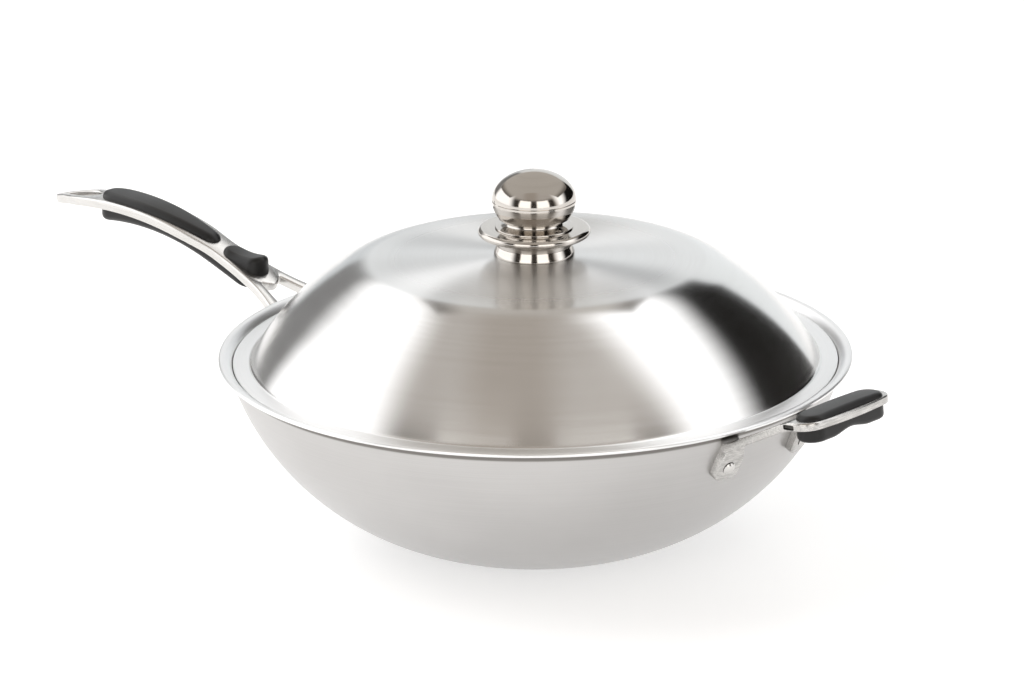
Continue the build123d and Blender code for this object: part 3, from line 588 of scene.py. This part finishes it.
footProfile = [(0, 0), (24.4, 0)] + arcPoints((24.4, 0.4), 0.4, -90, 0, 3) \
    + [(24.75, 1.2), (24.3, 2.6), (23.6, 4.4), (23.2, 5.6), (23.05, 6.0), (22.75, 6.1),
       (22.75, 6.5), (23.05, 6.6)] \
    + curveThrough([(23.05, 6.6), (23.5, 8.6), (25.0, 10.6), (27.2, 11.6)], 4)[1:] \
    + arcPoints((28.0, 11.75), 0.35, -60, 90, 4) + [(0, knob["footHeight"])]
collarBase = lidBase + knob["footHeight"]
half = knob["collarThick"] / 2
collarProfile = [(0, 0), (26, 0)] \
    + arcPoints((knob["collarRadius"] - half, half), half, -90, 90, 16) \
    + [(0, knob["collarThick"])]
neckBase = collarBase + knob["collarThick"]
neckProfile = [(0, 0)] + arcPoints((23.75, 0.25), 0.25, -90, 0, 3) \
    + arcPoints((23.75, 0.75), 0.25, 0, 90, 3) \
    + curveThrough([(23.6, 1.0), (20.4, 1.35), (18.2, 2.2), (17.4, 3.4)], 5)[1:] \
    + [(17.4, knob["neckHeight"]), (0, knob["neckHeight"])]
ballBase = neckBase + knob["neckHeight"]
ballMiddle = ballBase + knob["ballLower"]
ballRadius, groove = knob["ballRadius"], knob["seamGroove"]
lowerProfile = [(0, 0), (18.5, 0)] + arcPoints((18.65, 0.35), 0.35, -90, 0, 3) \
    + [(19.0, 1.75), (19.1, 1.95), (21.5, 2.0)] + arcPoints((21.6, 2.3), 0.3, -90, -20, 3) \
    + curveThrough([(21.95, 2.6), (23.4, 4.8), (24.9, 8.0), (25.75, 11.2),
                    (ballRadius, knob["ballLower"] - groove)], 5)[1:] \
    + [(ballRadius - groove, knob["ballLower"]), (0, knob["ballLower"])]
upperProfile = [(0, 0), (ballRadius - groove, 0)] \
    + [(ballRadius * cos(radians(t)), knob["ballUpper"] * sin(radians(t)))
       for t in [1.0] + [3 * i for i in range(1, 30)]] + [(0, knob["ballUpper"])]

for name, profile, base, node in (
        ("knobFoot", footProfile, lidBase, "knob_foot"),
        ("knobCollar", collarProfile, collarBase, "knob_collar"),
        ("knobNeck", neckProfile, neckBase, "knob_neck"),
        ("knobLowerHalf", lowerProfile, ballBase, "knob_lower_shell"),
        ("knobUpperHalf", upperProfile, ballMiddle, "knob_upper_shell")):
    piece = turnPiece(name, lift(profile, base), knob["steps"])
    dress(piece, knobSteel, "lid", node, knob["sharpAngle"])
print("knob turned")


# ---- rivets and lugs on the bowl's wall

rivet = {"headRadius": 4.3, "headHeight": 2.2, "innerRadius": 5.0, "innerHeight": 1.2,
         "innerEdge": 0.5, "shank": 2.6, "undercut": 4.1, "headCut": 2, "depth": 23.5,
         "spacing": 14.0, "lugThick": 5.5, "seatGap": 0.12, "steps": 48}


def wallAt(height):
    # radius of the outer wall and the lean of its normal, in degrees
    radius = wallCentre[0] + sqrt(bowl["wallArc"] ** 2 - (wallCentre[1] - height) ** 2)
    return radius, degrees(atan2(height - wallCentre[1], radius - wallCentre[0]))


def placeRivets(name, node, spots):
    # one rivet is turned on the axis, then each copy is leant onto the wall
    out, inside = rivet["lugThick"] + rivet["seatGap"], bowl["sheet"] + rivet["seatGap"]
    edge, shank = rivet["innerEdge"], rivet["shank"]
    headArc = (rivet["headRadius"] ** 2 + rivet["headHeight"] ** 2) / (2 * rivet["headHeight"])
    headTurn = degrees(asin(rivet["headRadius"] / headArc))
    profile = [(0, -inside - rivet["innerHeight"])] \
        + arcPoints((rivet["innerRadius"] - edge, -inside - rivet["innerHeight"] + edge), edge,
                    -90, 0, 4) \
        + [(rivet["innerRadius"], -inside), (shank, -inside), (shank, out),
           (rivet["undercut"], out)] \
        + arcPoints((0, out + rivet["headHeight"] - headArc), headArc,
                    90 - headTurn + rivet["headCut"], 90, 12)
    copies = []
    for i, (offset, depth, side) in enumerate(spots):
        radius, tilt = wallAt(rimHeight - depth)
        one = turnPiece(f"{name}{i}", profile, rivet["steps"])
        swing = asin(offset / radius)
        outward = Vector((side * cos(swing) * cos(radians(tilt)), sin(swing) * cos(radians(tilt)),
                          sin(radians(tilt))))
        one.matrix_world = Matrix.Translation(
            Vector((side * radius * cos(swing), offset, rimHeight - depth)) * mm) \
            @ outward.to_track_quat("Z", "Y").to_matrix().to_4x4()
        choose(one)
        bpy.ops.object.transform_apply(location=True, rotation=True, scale=True)
        copies.append(one)
    joinTo(copies[0], copies[1:])
    copies[0].name = copies[0].data.name = name
    dress(copies[0], rivetSteel, "pan", node, sharpAngle=35)


longHandle = {"lugOffset": 26.5, "lugWidth": 15.0, "lugDepth": 46.0, "lugTopWidth": 11.0,
              "thick": 6.0, "bend": 80.0, "bendHeight": 14.9, "rise": 18.3, "arc": 270.0,
              "edge": 1.1}
helper = {"lugOffset": 33.5, "lugWidth": 17.0, "lugDepth": 32.0, "thick": 5.0,
          "bend": 36.3, "bendHeight": 14.96, "armTurn": 27.5, "padTurn": 6.0, "reach": 55.95,
          "bow": 3.5, "halfLength": 40.5, "corner": 12.0, "gap": 29.0, "armWidth": 13.5,
          "gapCorner": 9.0, "edge": 0.9, "bendSag": 0.3, "platformEnd": 60, "lugDrop": 2.0,
          "slotPlace": 38.5, "slotLength": 8.0, "slotHeight": 3.0, "slotDepth": 2.2,
          "slotDrop": 0.5, "slotEdge": 0.9}

placeRivets("longHandleRivets", "long_handle_rivets",
            [(edge * longHandle["lugOffset"], depth, -1) for edge in (-1, 1)
             for depth in (rivet["depth"], rivet["depth"] + rivet["spacing"])])
placeRivets("helperRivets", "helper_handle_rivets",
            [(edge * helper["lugOffset"], rivet["depth"], 1) for edge in (-1, 1)])


lug = {"corner": 5.0, "bow": 0.35, "neck": 12, "edge": 0.9}


def layLug(name, offset, width, depth, top, topWidth, side):
    # plate on the wall, lower end rounded, drawn in to the arm's width at its top
    turns = [atan2(height - wallCentre[1], wallAt(height)[0] - wallCentre[0])
             for height in (rimHeight - depth, top)]
    arc, corner, bow, neckLength = bowl["wallArc"], lug["corner"], lug["bow"], lug["neck"]
    half, length = width / 2, arc * (turns[1] - turns[0])
    foot = [(bow * (i / 5) ** 2, (half - corner) * i / 5) for i in range(5)]
    flank = [(corner + bow + (length - neckLength - corner) * i / 8, half) for i in range(1, 9)]
    neck = [(length - neckLength + bow + (neckLength - bow) * i / 8,
             half + (topWidth / 2 - half) * (0.5 - 0.5 * cos(pi * i / 8))) for i in range(1, 9)]
    outline = foot + arcPoints((corner + bow, half - corner), corner, 180, 90, 8) \
        + flank + neck + [(length + bow, 0)]

    def onWall(along, across, off):
        turn = turns[0] + along / arc
        radius, y = wallCentre[0] + (arc + off) * cos(turn), offset + across
        return (side * sqrt(radius ** 2 - y ** 2), y, wallCentre[1] + (arc + off) * sin(turn))
    return layShell(name, outline, lambda a: fitGap, lambda a: rivet["lugThick"], onWall,
                    roundHigh=lug["edge"], steps=4)


# what the handles are trimmed against: the bowl's outside, filled
trimmer = turnPiece("trimmer", [(r, z - fitGap) for r, z in bowlFace(0)]
                    + [(rimRadius, rimHeight - bowl["sheet"] - fitGap),
                       (rimRadius, rimHeight + 1), (0, rimHeight + 1)], steps=192)


def shapeFrame(name, inner, outer, sideLine, thick, edge, cuts, place):
    # half a flat strip, mirrored, pressed onto the side line, thickened and rounded
    overhead, sheetHalf = 100, 60   # height of the flat strip, half width of the sheet it meets
    piece = beginPiece(name)
    traceLine([place(a, b, overhead) for a, b in inner])
    traceLine([place(a, b, overhead) for a, b in outer])
    layRibbon(0, 1, len(inner), cuts)
    endPiece(piece)
    if piece.data.polygons[0].normal.z < 0:
        piece.data.flip_normals()
    modify(piece, "MIRROR", use_axis=(False, True, False), merge_threshold=0.00001)
    sheet = beginPiece("sideSheet")
    traceLine([place(a, -sheetHalf, b) for a, b in sideLine])
    bpy.ops.mesh.extrude_region_move(TRANSFORM_OT_translate={"value": (0, 2 * sheetHalf * mm, 0)})
    endPiece(sheet)
    modify(piece, "SHRINKWRAP", target=sheet, wrap_method="PROJECT", use_project_z=True,
           use_negative_direction=True, use_positive_direction=True)
    discard(sheet)
    modify(piece, "SOLIDIFY", thickness=thick * mm, offset=-1, use_even_offset=True)
    modify(piece, "BEVEL", width=edge * mm, segments=3, limit_method="ANGLE",
           angle_limit=radians(50), use_clamp_overlap=False)
    modify(piece, "BOOLEAN", operation="DIFFERENCE", object=trimmer, solver="EXACT")
    return piece


# ---- long handle: places outwards from the rim, heights above the rim plane

rise = radians(longHandle["rise"])
arcPlace = longHandle["bend"] + longHandle["arc"] * sin(rise)
arcHeight = longHandle["bendHeight"] - longHandle["arc"] * cos(rise)


def handleHeight(place, above=0.0):
    if place < longHandle["bend"] - above * sin(rise):
        return longHandle["bendHeight"] + (place - longHandle["bend"]) * tan(rise) \
            + above / cos(rise)
    return arcHeight + sqrt((longHandle["arc"] + above) ** 2 - (place - arcPlace) ** 2)


def onLong(place, across, height):
    return (-rimRadius - place, across, rimHeight + height)


rootPlace = wallAt(rimHeight - longHandle["lugDepth"])[0] - rimRadius
outline = curveThrough([(rootPlace, 38.0), (6.0, 26.2), (34.7, 15.6), (75.0, 10.6), (111.5, 13.2),
                        (192.0, 13.2), (219.0, 7.6), (230.5, 3.9), (234.0, 0)], 24)
forkSide = curveThrough([(rootPlace, 27.0), (12.0, 14.9), (32.6, 8.9)], 12)
notch = softCorner((32.6, 8.9), (34.9, 8.3), (33.3, 6.6), 6)
tooth = curveThrough([(33.3, 6.6), (31.0, 4.2), (29.5, 0)], 6)
eye = curveThrough([(192.0, 0), (194.6, 4.2), (202.7, 7.0), (213.0, 4.6), (224.0, 0.01)], 8)
# the inner line runs down the fork, along the middle, round the eye and on to the tip; each
# run is joined to the stretch of the outer line between two stops
innerRuns = [spreadEvenly(forkSide, 20), notch, spreadEvenly(tooth, 5),
             alongMiddle(29.5, 192.0, 54), spreadEvenly(eye, 26), alongMiddle(224, 230.5, 5)]
outerStops = (rootPlace, 37.0, 44.0, 52.0, 181.0, 230.3, 234.0)
outerRuns = [spreadEvenly(cutBetween(outline, low, high), len(run) - 1)
             for low, high, run in zip(outerStops, outerStops[1:], innerRuns)]
inner = innerRuns[0] + [p for run in innerRuns[1:] for p in run[1:]]
outer = outerRuns[0] + [p for run in outerRuns[1:] for p in run[1:]]
# few cuts on the way up to the bend, one every 2 mm along the arc
sideLine = [(p, handleHeight(p)) for p in [rootPlace - 5, 20, 50, 79]
            + [80 + 2 * i for i in range(79)]]
longFrame = shapeFrame("longHandleFrame", inner, outer, sideLine, longHandle["thick"],
                       longHandle["edge"], 0, onLong)
lugTop = rimHeight + handleHeight(wallAt(rimHeight - rivet["depth"])[0] - rimRadius)
longLugs = [layLug(f"longLug{i}", edge * longHandle["lugOffset"], longHandle["lugWidth"],
                   longHandle["lugDepth"], lugTop, longHandle["lugTopWidth"], -1)
            for i, edge in enumerate((-1, 1))]
joinTo(longFrame, longLugs)
dress(longFrame, handleSteel, "pan", "long_handle_frame")

grip = {"thin": 3.7, "deep": 4.8, "round": 3.5, "crown": 1.3,
        "outline": [(81.5, 0), (83.6, 4.6), (90.5, 6.7), (116.0, 9.4), (141.5, 10.8),
                    (166.0, 10.6), (177.0, 9.2), (183.4, 5.6), (185.0, 0)]}


def gripTop(place):
    # the upper grip is deepest at its outer end
    t = (place - grip["outline"][0][0]) / (grip["outline"][-1][0] - grip["outline"][0][0])
    return handleHeight(place, grip["thin"] + (grip["deep"] - grip["thin"]) * t * t)


upperGrip = layShell("upperGrip", spreadEvenly(curveThrough(grip["outline"], 10), 90),
                     lambda a: handleHeight(a, fitGap), gripTop, onLong,
                     roundHigh=grip["round"], crown=grip["crown"])
dress(upperGrip, gripBlack, "pan", "long_handle_upper_grip")

lowerGrip = {"start": 48.0, "end": 186.4, "inner": 7.8, "outer": 9.8, "waist": 2.4,
             "halfWidth": 9.4, "round": 4.4}
thick = longHandle["thick"]


def slotOutline(start, end, halfWidth, cuts=48):
    # half the outline of a bar with round ends
    return arcPoints((start + halfWidth, 0), halfWidth, 180, 90, 10) \
        + [(start + halfWidth + (end - start - 2 * halfWidth) * i / cuts, halfWidth)
           for i in range(1, cuts)] \
        + arcPoints((end - halfWidth, 0), halfWidth, 90, 0, 10)


def gripUnderside(place):
    # the lower grip is thinner in its middle
    t = (place - lowerGrip["start"]) / (lowerGrip["end"] - lowerGrip["start"])
    depth = lowerGrip["inner"] + (lowerGrip["outer"] - lowerGrip["inner"]) * t \
        - lowerGrip["waist"] * 4 * t * (1 - t)
    return handleHeight(place, -thick - depth)


lowerGripPiece = layShell(
    "lowerGrip", slotOutline(lowerGrip["start"], lowerGrip["end"], lowerGrip["halfWidth"]),
    gripUnderside, lambda a: handleHeight(a, -thick - fitGap), onLong,
    roundLow=lowerGrip["round"])
dress(lowerGripPiece, gripBlack, "pan", "long_handle_lower_grip")

thumb = {"start": 39.0, "end": 73.4, "halfWidth": 8.2, "front": 14.2, "back": 16.2,
         "dish": 2.6, "round": 4.0}


def thumbTop(place):
    # a shallow dish between the two ends
    t = (place - thumb["start"]) / (thumb["end"] - thumb["start"])
    return thumb["front"] + (thumb["back"] - thumb["front"]) * t - thumb["dish"] * 4 * t * (1 - t)


thumbPiece = layShell("thumbRest", slotOutline(thumb["start"], thumb["end"], thumb["halfWidth"]),
                      lambda a: handleHeight(a, fitGap), thumbTop, onLong,
                      roundHigh=thumb["round"])
dress(thumbPiece, gripBlack, "pan", "thumb_rest")
print("long handle made")


# ---- helper handle

def onHelper(place, across, height):
    return (rimRadius + place, across, rimHeight + height)


armSlope, padSlope = tan(radians(helper["armTurn"])), tan(radians(helper["padTurn"]))
helperRoot = rootPlace   # both frames start inside the bowl and are trimmed by it
halfLength, corner, reachOut = helper["halfLength"], helper["corner"], helper["reach"]
endLine = [(reachOut - helper["bow"] * (y / halfLength) ** 2, y)
           for y in (28.5, 24, 19, 14, 9, 4.5, 0)]
cornerLine = arcPoints((endLine[0][0] - corner, halfLength - corner), corner, 90, 0, 9)
gapY = halfLength - helper["armWidth"]
gapX, gapCorner = helper["gap"], helper["gapCorner"]
gapLine = arcPoints((gapX - gapCorner, gapY - gapCorner), gapCorner, 90, 0, 9)
straight = 14   # cuts along an arm
inner = [(helperRoot + (gapX - gapCorner - helperRoot) * i / straight, gapY)
         for i in range(straight)] + gapLine \
    + [(gapX, (gapY - gapCorner) * (1 - i / 6)) for i in range(1, 7)]
outer = [(helperRoot + (cornerLine[0][0] - helperRoot) * i / straight, halfLength)
         for i in range(straight)] + cornerLine + endLine[1:]
bend, bendHeight, platformEnd = helper["bend"], helper["bendHeight"], helper["platformEnd"]
near, far = 4, 9   # the bend is rounded within these distances
bendLine = curveThrough([(bend - far, bendHeight - armSlope * far),
                         (bend - near, bendHeight - armSlope * near),
                         (bend, bendHeight - helper["bendSag"]),
                         (bend + near, bendHeight + padSlope * near),
                         (bend + far, bendHeight + padSlope * far)], 6)
sideLine = [(helperRoot - 5, bendHeight - armSlope * (bend - helperRoot + 5))] \
    + bendLine + [(platformEnd, bendHeight + padSlope * (platformEnd - bend))]
helperFrame = shapeFrame("helperFrame", inner, outer, sideLine, helper["thick"],
                         helper["edge"], 9, onHelper)
slotMiddle = bendHeight + padSlope * (helper["slotPlace"] - bend) - helper["thick"] / 2 \
    - helper["slotDrop"]


def cutSlot(piece, side):
    # a short slot let into the loop's outer side, beside the pads' end
    place = onHelper(helper["slotPlace"], side * halfLength, slotMiddle)
    choose(piece)
    bpy.ops.mesh.primitive_cube_add(
        size=1, location=Vector(place) * mm, rotation=(0, -radians(helper["padTurn"]), 0),
        scale=Vector((helper["slotLength"], 2 * helper["slotDepth"], helper["slotHeight"])) * mm)
    cutter = bpy.context.object
    bpy.ops.object.transform_apply(location=True, rotation=True, scale=True)
    modify(cutter, "BEVEL", width=helper["slotEdge"] * mm, segments=3)
    modify(piece, "BOOLEAN", operation="DIFFERENCE", object=cutter, solver="EXACT")
    discard(cutter)


for side in (-1, 1):
    cutSlot(helperFrame, side)
helperLugTop = rimHeight + bendHeight - armSlope * (bend + rivet["lugThick"]) \
    - helper["lugDrop"]
helperLugs = [layLug(f"helperLug{i}", edge * helper["lugOffset"], helper["lugWidth"],
                     helper["lugDepth"], helperLugTop, helper["armWidth"] - 1, 1)
              for i, edge in enumerate((-1, 1))]
joinTo(helperFrame, helperLugs)
dress(helperFrame, helperSteel, "pan", "helper_handle_frame")
helperFrame.data.materials.append(recessShadeSteel)
slotSlack = 0.15   # how near a face's middle may come to the slot's edges
for face in helperFrame.data.polygons:
    # painted shade: the slots' walls and floor take a near-black steel
    x, y, z = face.center / mm
    face.material_index = int(
        abs(x - rimRadius - helper["slotPlace"]) < helper["slotLength"] / 2
        and -slotSlack < abs(y) - halfLength + helper["slotDepth"] < helper["slotDepth"] - slotSlack
        and abs(z - rimHeight - slotMiddle) < helper["slotHeight"] / 2 + slotSlack)
discard(trimmer)

pads = {"place": 44.0, "halfLength": 35.0, "halfWidth": 9.5, "upper": 3.4, "lower": 8.4,
        "waist": 2.4, "round": 2.8, "dome": 0.9, "crown": 1.3}
padTurn = radians(helper["padTurn"])
padHeight = bendHeight + padSlope * (pads["place"] - bend)


def onPad(along, across, height):
    # along the grip, across it and square off the platform
    return onHelper(pads["place"] + across * cos(padTurn) - height * sin(padTurn), along,
                    padHeight + across * sin(padTurn) + height * cos(padTurn))


padOutline = slotOutline(-pads["halfLength"], pads["halfLength"], pads["halfWidth"])
upperPad = layShell("helperUpperPad", padOutline, lambda a: fitGap,
                    lambda a: pads["upper"] - pads["dome"] * (a / pads["halfLength"]) ** 2, onPad,
                    roundHigh=pads["round"], crown=pads["crown"])
dress(upperPad, gripBlack, "pan", "helper_upper_pad")

lobes = pads["halfLength"] / 2


def lobeHeight(along):
    # two lobes, with a waist between them
    waist = 0.5 + 0.5 * cos(pi * min(abs(along) / lobes, 1))
    return pads["waist"] * waist - helper["thick"] - pads["lower"]


lowerPad = layShell("helperLowerPad", padOutline, lobeHeight,
                    lambda a: -helper["thick"] - fitGap, onPad, roundLow=pads["round"])
dress(lowerPad, gripBlack, "pan", "helper_lower_pad")
print("helper handle made")


# ---- nodes that keep their own shape

for material, names in (
        (fastenerSteel, ("long_handle_grip_screws", "thumb_rest_screw", "helper_pad_screws",
                         "knob_screw", "knob_washer", "knob_spring_washer", "knob_weld_nut")),
        (insertBrass, ("long_handle_grip_inserts", "thumb_rest_insert", "helper_pad_inserts"))):
    for name in names:
        for slot in nodes[name].material_slots:
            slot.material = material
print("fasteners finished")


# ---- studio: pale floor, soft panels all round, a card over the knob, one lamp on the left

studio = {"viewTurn": 42.0, "warm": (0.50, 0.45, 0.40, 1), "warmSide": (0.62, 0.58, 0.54, 1),
          "panel": (1.85, 1.85, 1.86, 1), "lowPanel": (2.0, 1.94, 1.86, 1),
          "black": (0.010, 0.009, 0.008, 1), "umber": (0.045, 0.038, 0.032, 1),
          "grey": (0.27, 0.268, 0.265, 1), "sweep": (1.02, 1.05, 1.06, 1),
          "sweepLeft": (0.74, 0.77, 0.79, 1), "sweepEnd": (0.98, 1.0, 1.01, 1)}

# where the panels lie, in degrees; a soft pair is where a tone is nought and where it is whole,
# a window is its low end, its high end and its softness, and an edge leaves its place in the
# fan by the slope once past the knee
sky = {"sweepFar": 71, "warm": (-13, 4, 5),
       "umberTop": (44, 26), "umberLeft": (-74, -60), "umberRight": (66, 54),
       "lowRight": (8, 42, 2), "lowLeft": (-42, -9, 2), "lowTop": (35, 31),
       "left": {"place": -26, "knee": 60, "slope": -0.12, "endKnee": 30, "endSlope": 0.5,
                "soft": (7, -7)},
       "grey": {"place": -60, "knee": 50, "slope": -1.2, "soft": (13, -16)},
       "right": {"place": 11, "knee": 52, "slope": 0.33, "soft": (-6, 8)},
       "black": {"place": 36, "start": 28, "slope": 0.19, "soft": (-9, 8)},
       "arch": {"place": 51, "curve": 0.019, "least": 60, "soft": (-1.5, 1.5)},
       "sweepLeft": (-104, -118), "sweepEnd": (14, 8)}


def makeWorld():
    world = bpy.data.worlds.new("studio")
    bpy.context.scene.world = world
    draw = blankTree(world)
    turn, perRadian = radians(studio["viewTurn"]), 180 / pi
    x, y, z = splitAxes(draw, draw.add("TexCoord", out=0))
    side = x * cos(turn) + y * sin(turn)    # towards the camera's right
    front = x * sin(turn) - y * cos(turn)   # towards the camera
    compass = draw.math("ARCTAN2", side, front) * perRadian   # 0 at the camera, + to its right
    height = draw.math("ARCSINE", z) * perRadian
    # the sky laid out flat round the zenith; the panels fan out from the far end of the sweep
    spread = 90 - height
    across = spread * draw.math("SINE", compass / perRadian)
    along = spread * draw.math("COSINE", compass / perRadian) + sky["sweepFar"]
    fan = draw.math("ARCTAN2", across, along) * perRadian
    reach = draw.math("SQRT", across * across + along * along)

    def pastKnee(edge):
        return draw.math("MAXIMUM", reach - edge["knee"], 0) * edge["slope"]

    def beyond(name, place):
        # mask of what lies past an edge of the fan
        return (fan - place).smooth(*sky[name]["soft"])

    left, right, grey, black, arch = (sky[name] for name in
                                      ("left", "right", "grey", "black", "arch"))
    leftEdge = pastKnee(left) \
        - draw.math("MAXIMUM", left["endKnee"] - reach, 0) * left["endSlope"] + left["place"]
    rightEdge = pastKnee(right) + right["place"]
    blackEdge = (reach - black["start"]) * black["slope"] + black["place"]
    archEdge = draw.math("MAXIMUM", reach * reach * arch["curve"] + arch["place"], arch["least"])
    greyEdge = pastKnee(grey) + grey["place"]
    tone = mixColour(draw, fan.window(*sky["warm"]), studio["warmSide"], studio["warm"])
    lowFront = height.smooth(*sky["umberTop"]) * compass.smooth(*sky["umberLeft"]) \
        * compass.smooth(*sky["umberRight"])
    lowPanel = (compass.window(*sky["lowRight"]) + compass.window(*sky["lowLeft"])) \
        * height.smooth(*sky["lowTop"])
    for mask, colour in (
            (lowFront, "umber"), (lowPanel, "lowPanel"), (beyond("left", leftEdge), "panel"),
            (beyond("grey", greyEdge), "grey"), (fan.smooth(*sky["sweepLeft"]), "sweepLeft"),
            (beyond("right", rightEdge), "panel"), (beyond("black", blackEdge), "black"),
            (beyond("arch", archEdge), "sweep"), (reach.smooth(*sky["sweepEnd"]), "sweepEnd")):
        tone = mixColour(draw, mask, tone, studio[colour])
    isCamera = draw.add("LightPath", out=0)
    shown = mixColour(draw, isCamera, tone, (1, 1, 1, 1))
    background = draw.add("Background", None, {"Color": shown, "Strength": 1.0})
    draw.add("OutputWorld", None, {"Surface": background})


floorLook = {"tone": 0.72, "glow": 0.48, "roughness": 0.6, "radius": 12.0, "drop": 0.0002}


def makeFloor():
    bpy.ops.object.select_all(action="DESELECT")
    bpy.ops.mesh.primitive_circle_add(vertices=64, radius=floorLook["radius"], fill_type="NGON",
                                      location=(0, 0, -floorLook["drop"]))
    floor = bpy.context.object
    floor.name = "floor"
    material = bpy.data.materials.new("paleFloor")
    draw = blankTree(material)
    tone = floorLook["tone"]
    finishMaterial(draw, (tone, tone, tone, 1), 0.0, floorLook["roughness"], None,
                   Emission_Color=(1, 1, 1, 1), Emission_Strength=floorLook["glow"])
    floor.data.materials.append(material)


card = {"height": 0.264, "width": 0.175, "depth": 0.105, "shift": 0.018,
        "tone": (0.62, 0.585, 0.54, 1), "edgeTone": (0.22, 0.2, 0.18, 1), "fade": (0.3, 0.46)}


def makeCard():
    # small beige card over the knob, seen only as the knob's and the lid's mirror image of it
    bpy.ops.object.select_all(action="DESELECT")
    turn, shift = radians(studio["viewTurn"]), card["shift"]
    bpy.ops.mesh.primitive_plane_add(size=1.0, rotation=(0, 0, turn))
    board = bpy.context.object
    board.name = "overheadCard"
    board.scale = (card["width"], card["depth"], 1)
    board.location = (-sin(turn) * shift, cos(turn) * shift, card["height"])
    material = bpy.data.materials.new("beigeCard")
    draw = blankTree(material)
    x, y, z = splitAxes(draw, objectPlace(draw))
    away = draw.math("ABSOLUTE", x)
    tone = mixColour(draw, away.smooth(*card["fade"]), card["tone"], card["edgeTone"])
    surface = draw.add("Emission", None, {"Color": tone, "Strength": 1.0})
    draw.add("OutputMaterial", None, {"Surface": surface})
    board.data.materials.append(material)
    board.visible_camera = board.visible_shadow = board.visible_diffuse = False


lampSet = {"place": (-1.15, -1.0, 2.2), "size": 1.6, "power": 18.0}


def makeLights():
    place = Vector(lampSet["place"])
    bpy.ops.object.light_add(type="AREA", location=place)
    lamp = bpy.context.object
    lamp.name = "softLamp"
    lamp.data.shape, lamp.data.size = "SQUARE", lampSet["size"]
    lamp.data.energy = lampSet["power"]
    lamp.rotation_euler = (-place).to_track_quat("-Z", "Y").to_euler()
    lamp.visible_glossy = False


camera = {"turn": 42.0, "height": 18.0422, "distance": 3.12, "pan": -0.27496, "dip": 17.9404,
          "roll": -0.5462, "lens": 178.1, "sensor": 36.0, "near": 0.1, "far": 60.0}


def makeCamera():
    bpy.ops.object.camera_add()
    eye = bpy.context.object
    eye.name = "productCamera"
    turn, height = radians(camera["turn"]), radians(camera["height"])
    pan, dip, roll = (radians(camera[key]) for key in ("pan", "dip", "roll"))
    level = Matrix.Rotation(turn, 3, "Z")
    back = Vector((0, -cos(height), sin(height)))
    look = Vector((sin(pan) * cos(dip), cos(pan) * cos(dip), -sin(dip)))
    right = Vector((cos(pan), -sin(pan), 0))
    up = right.cross(look)
    across = right * cos(roll) + up * sin(roll)
    upright = up * cos(roll) - right * sin(roll)
    axes = Matrix([level @ across, level @ upright, level @ -look]).transposed()
    place = Vector((0, 0, rimHeight * mm)) + level @ back * camera["distance"]
    eye.matrix_world = Matrix.Translation(place) @ axes.to_4x4()
    eye.data.lens, eye.data.sensor_width = camera["lens"], camera["sensor"]
    eye.data.clip_start, eye.data.clip_end = camera["near"], camera["far"]
    bpy.context.scene.camera = eye


makeWorld()
makeFloor()
makeCard()
makeLights()
makeCamera()
bpy.context.scene.view_settings.view_transform = "Standard"
print("studio set")
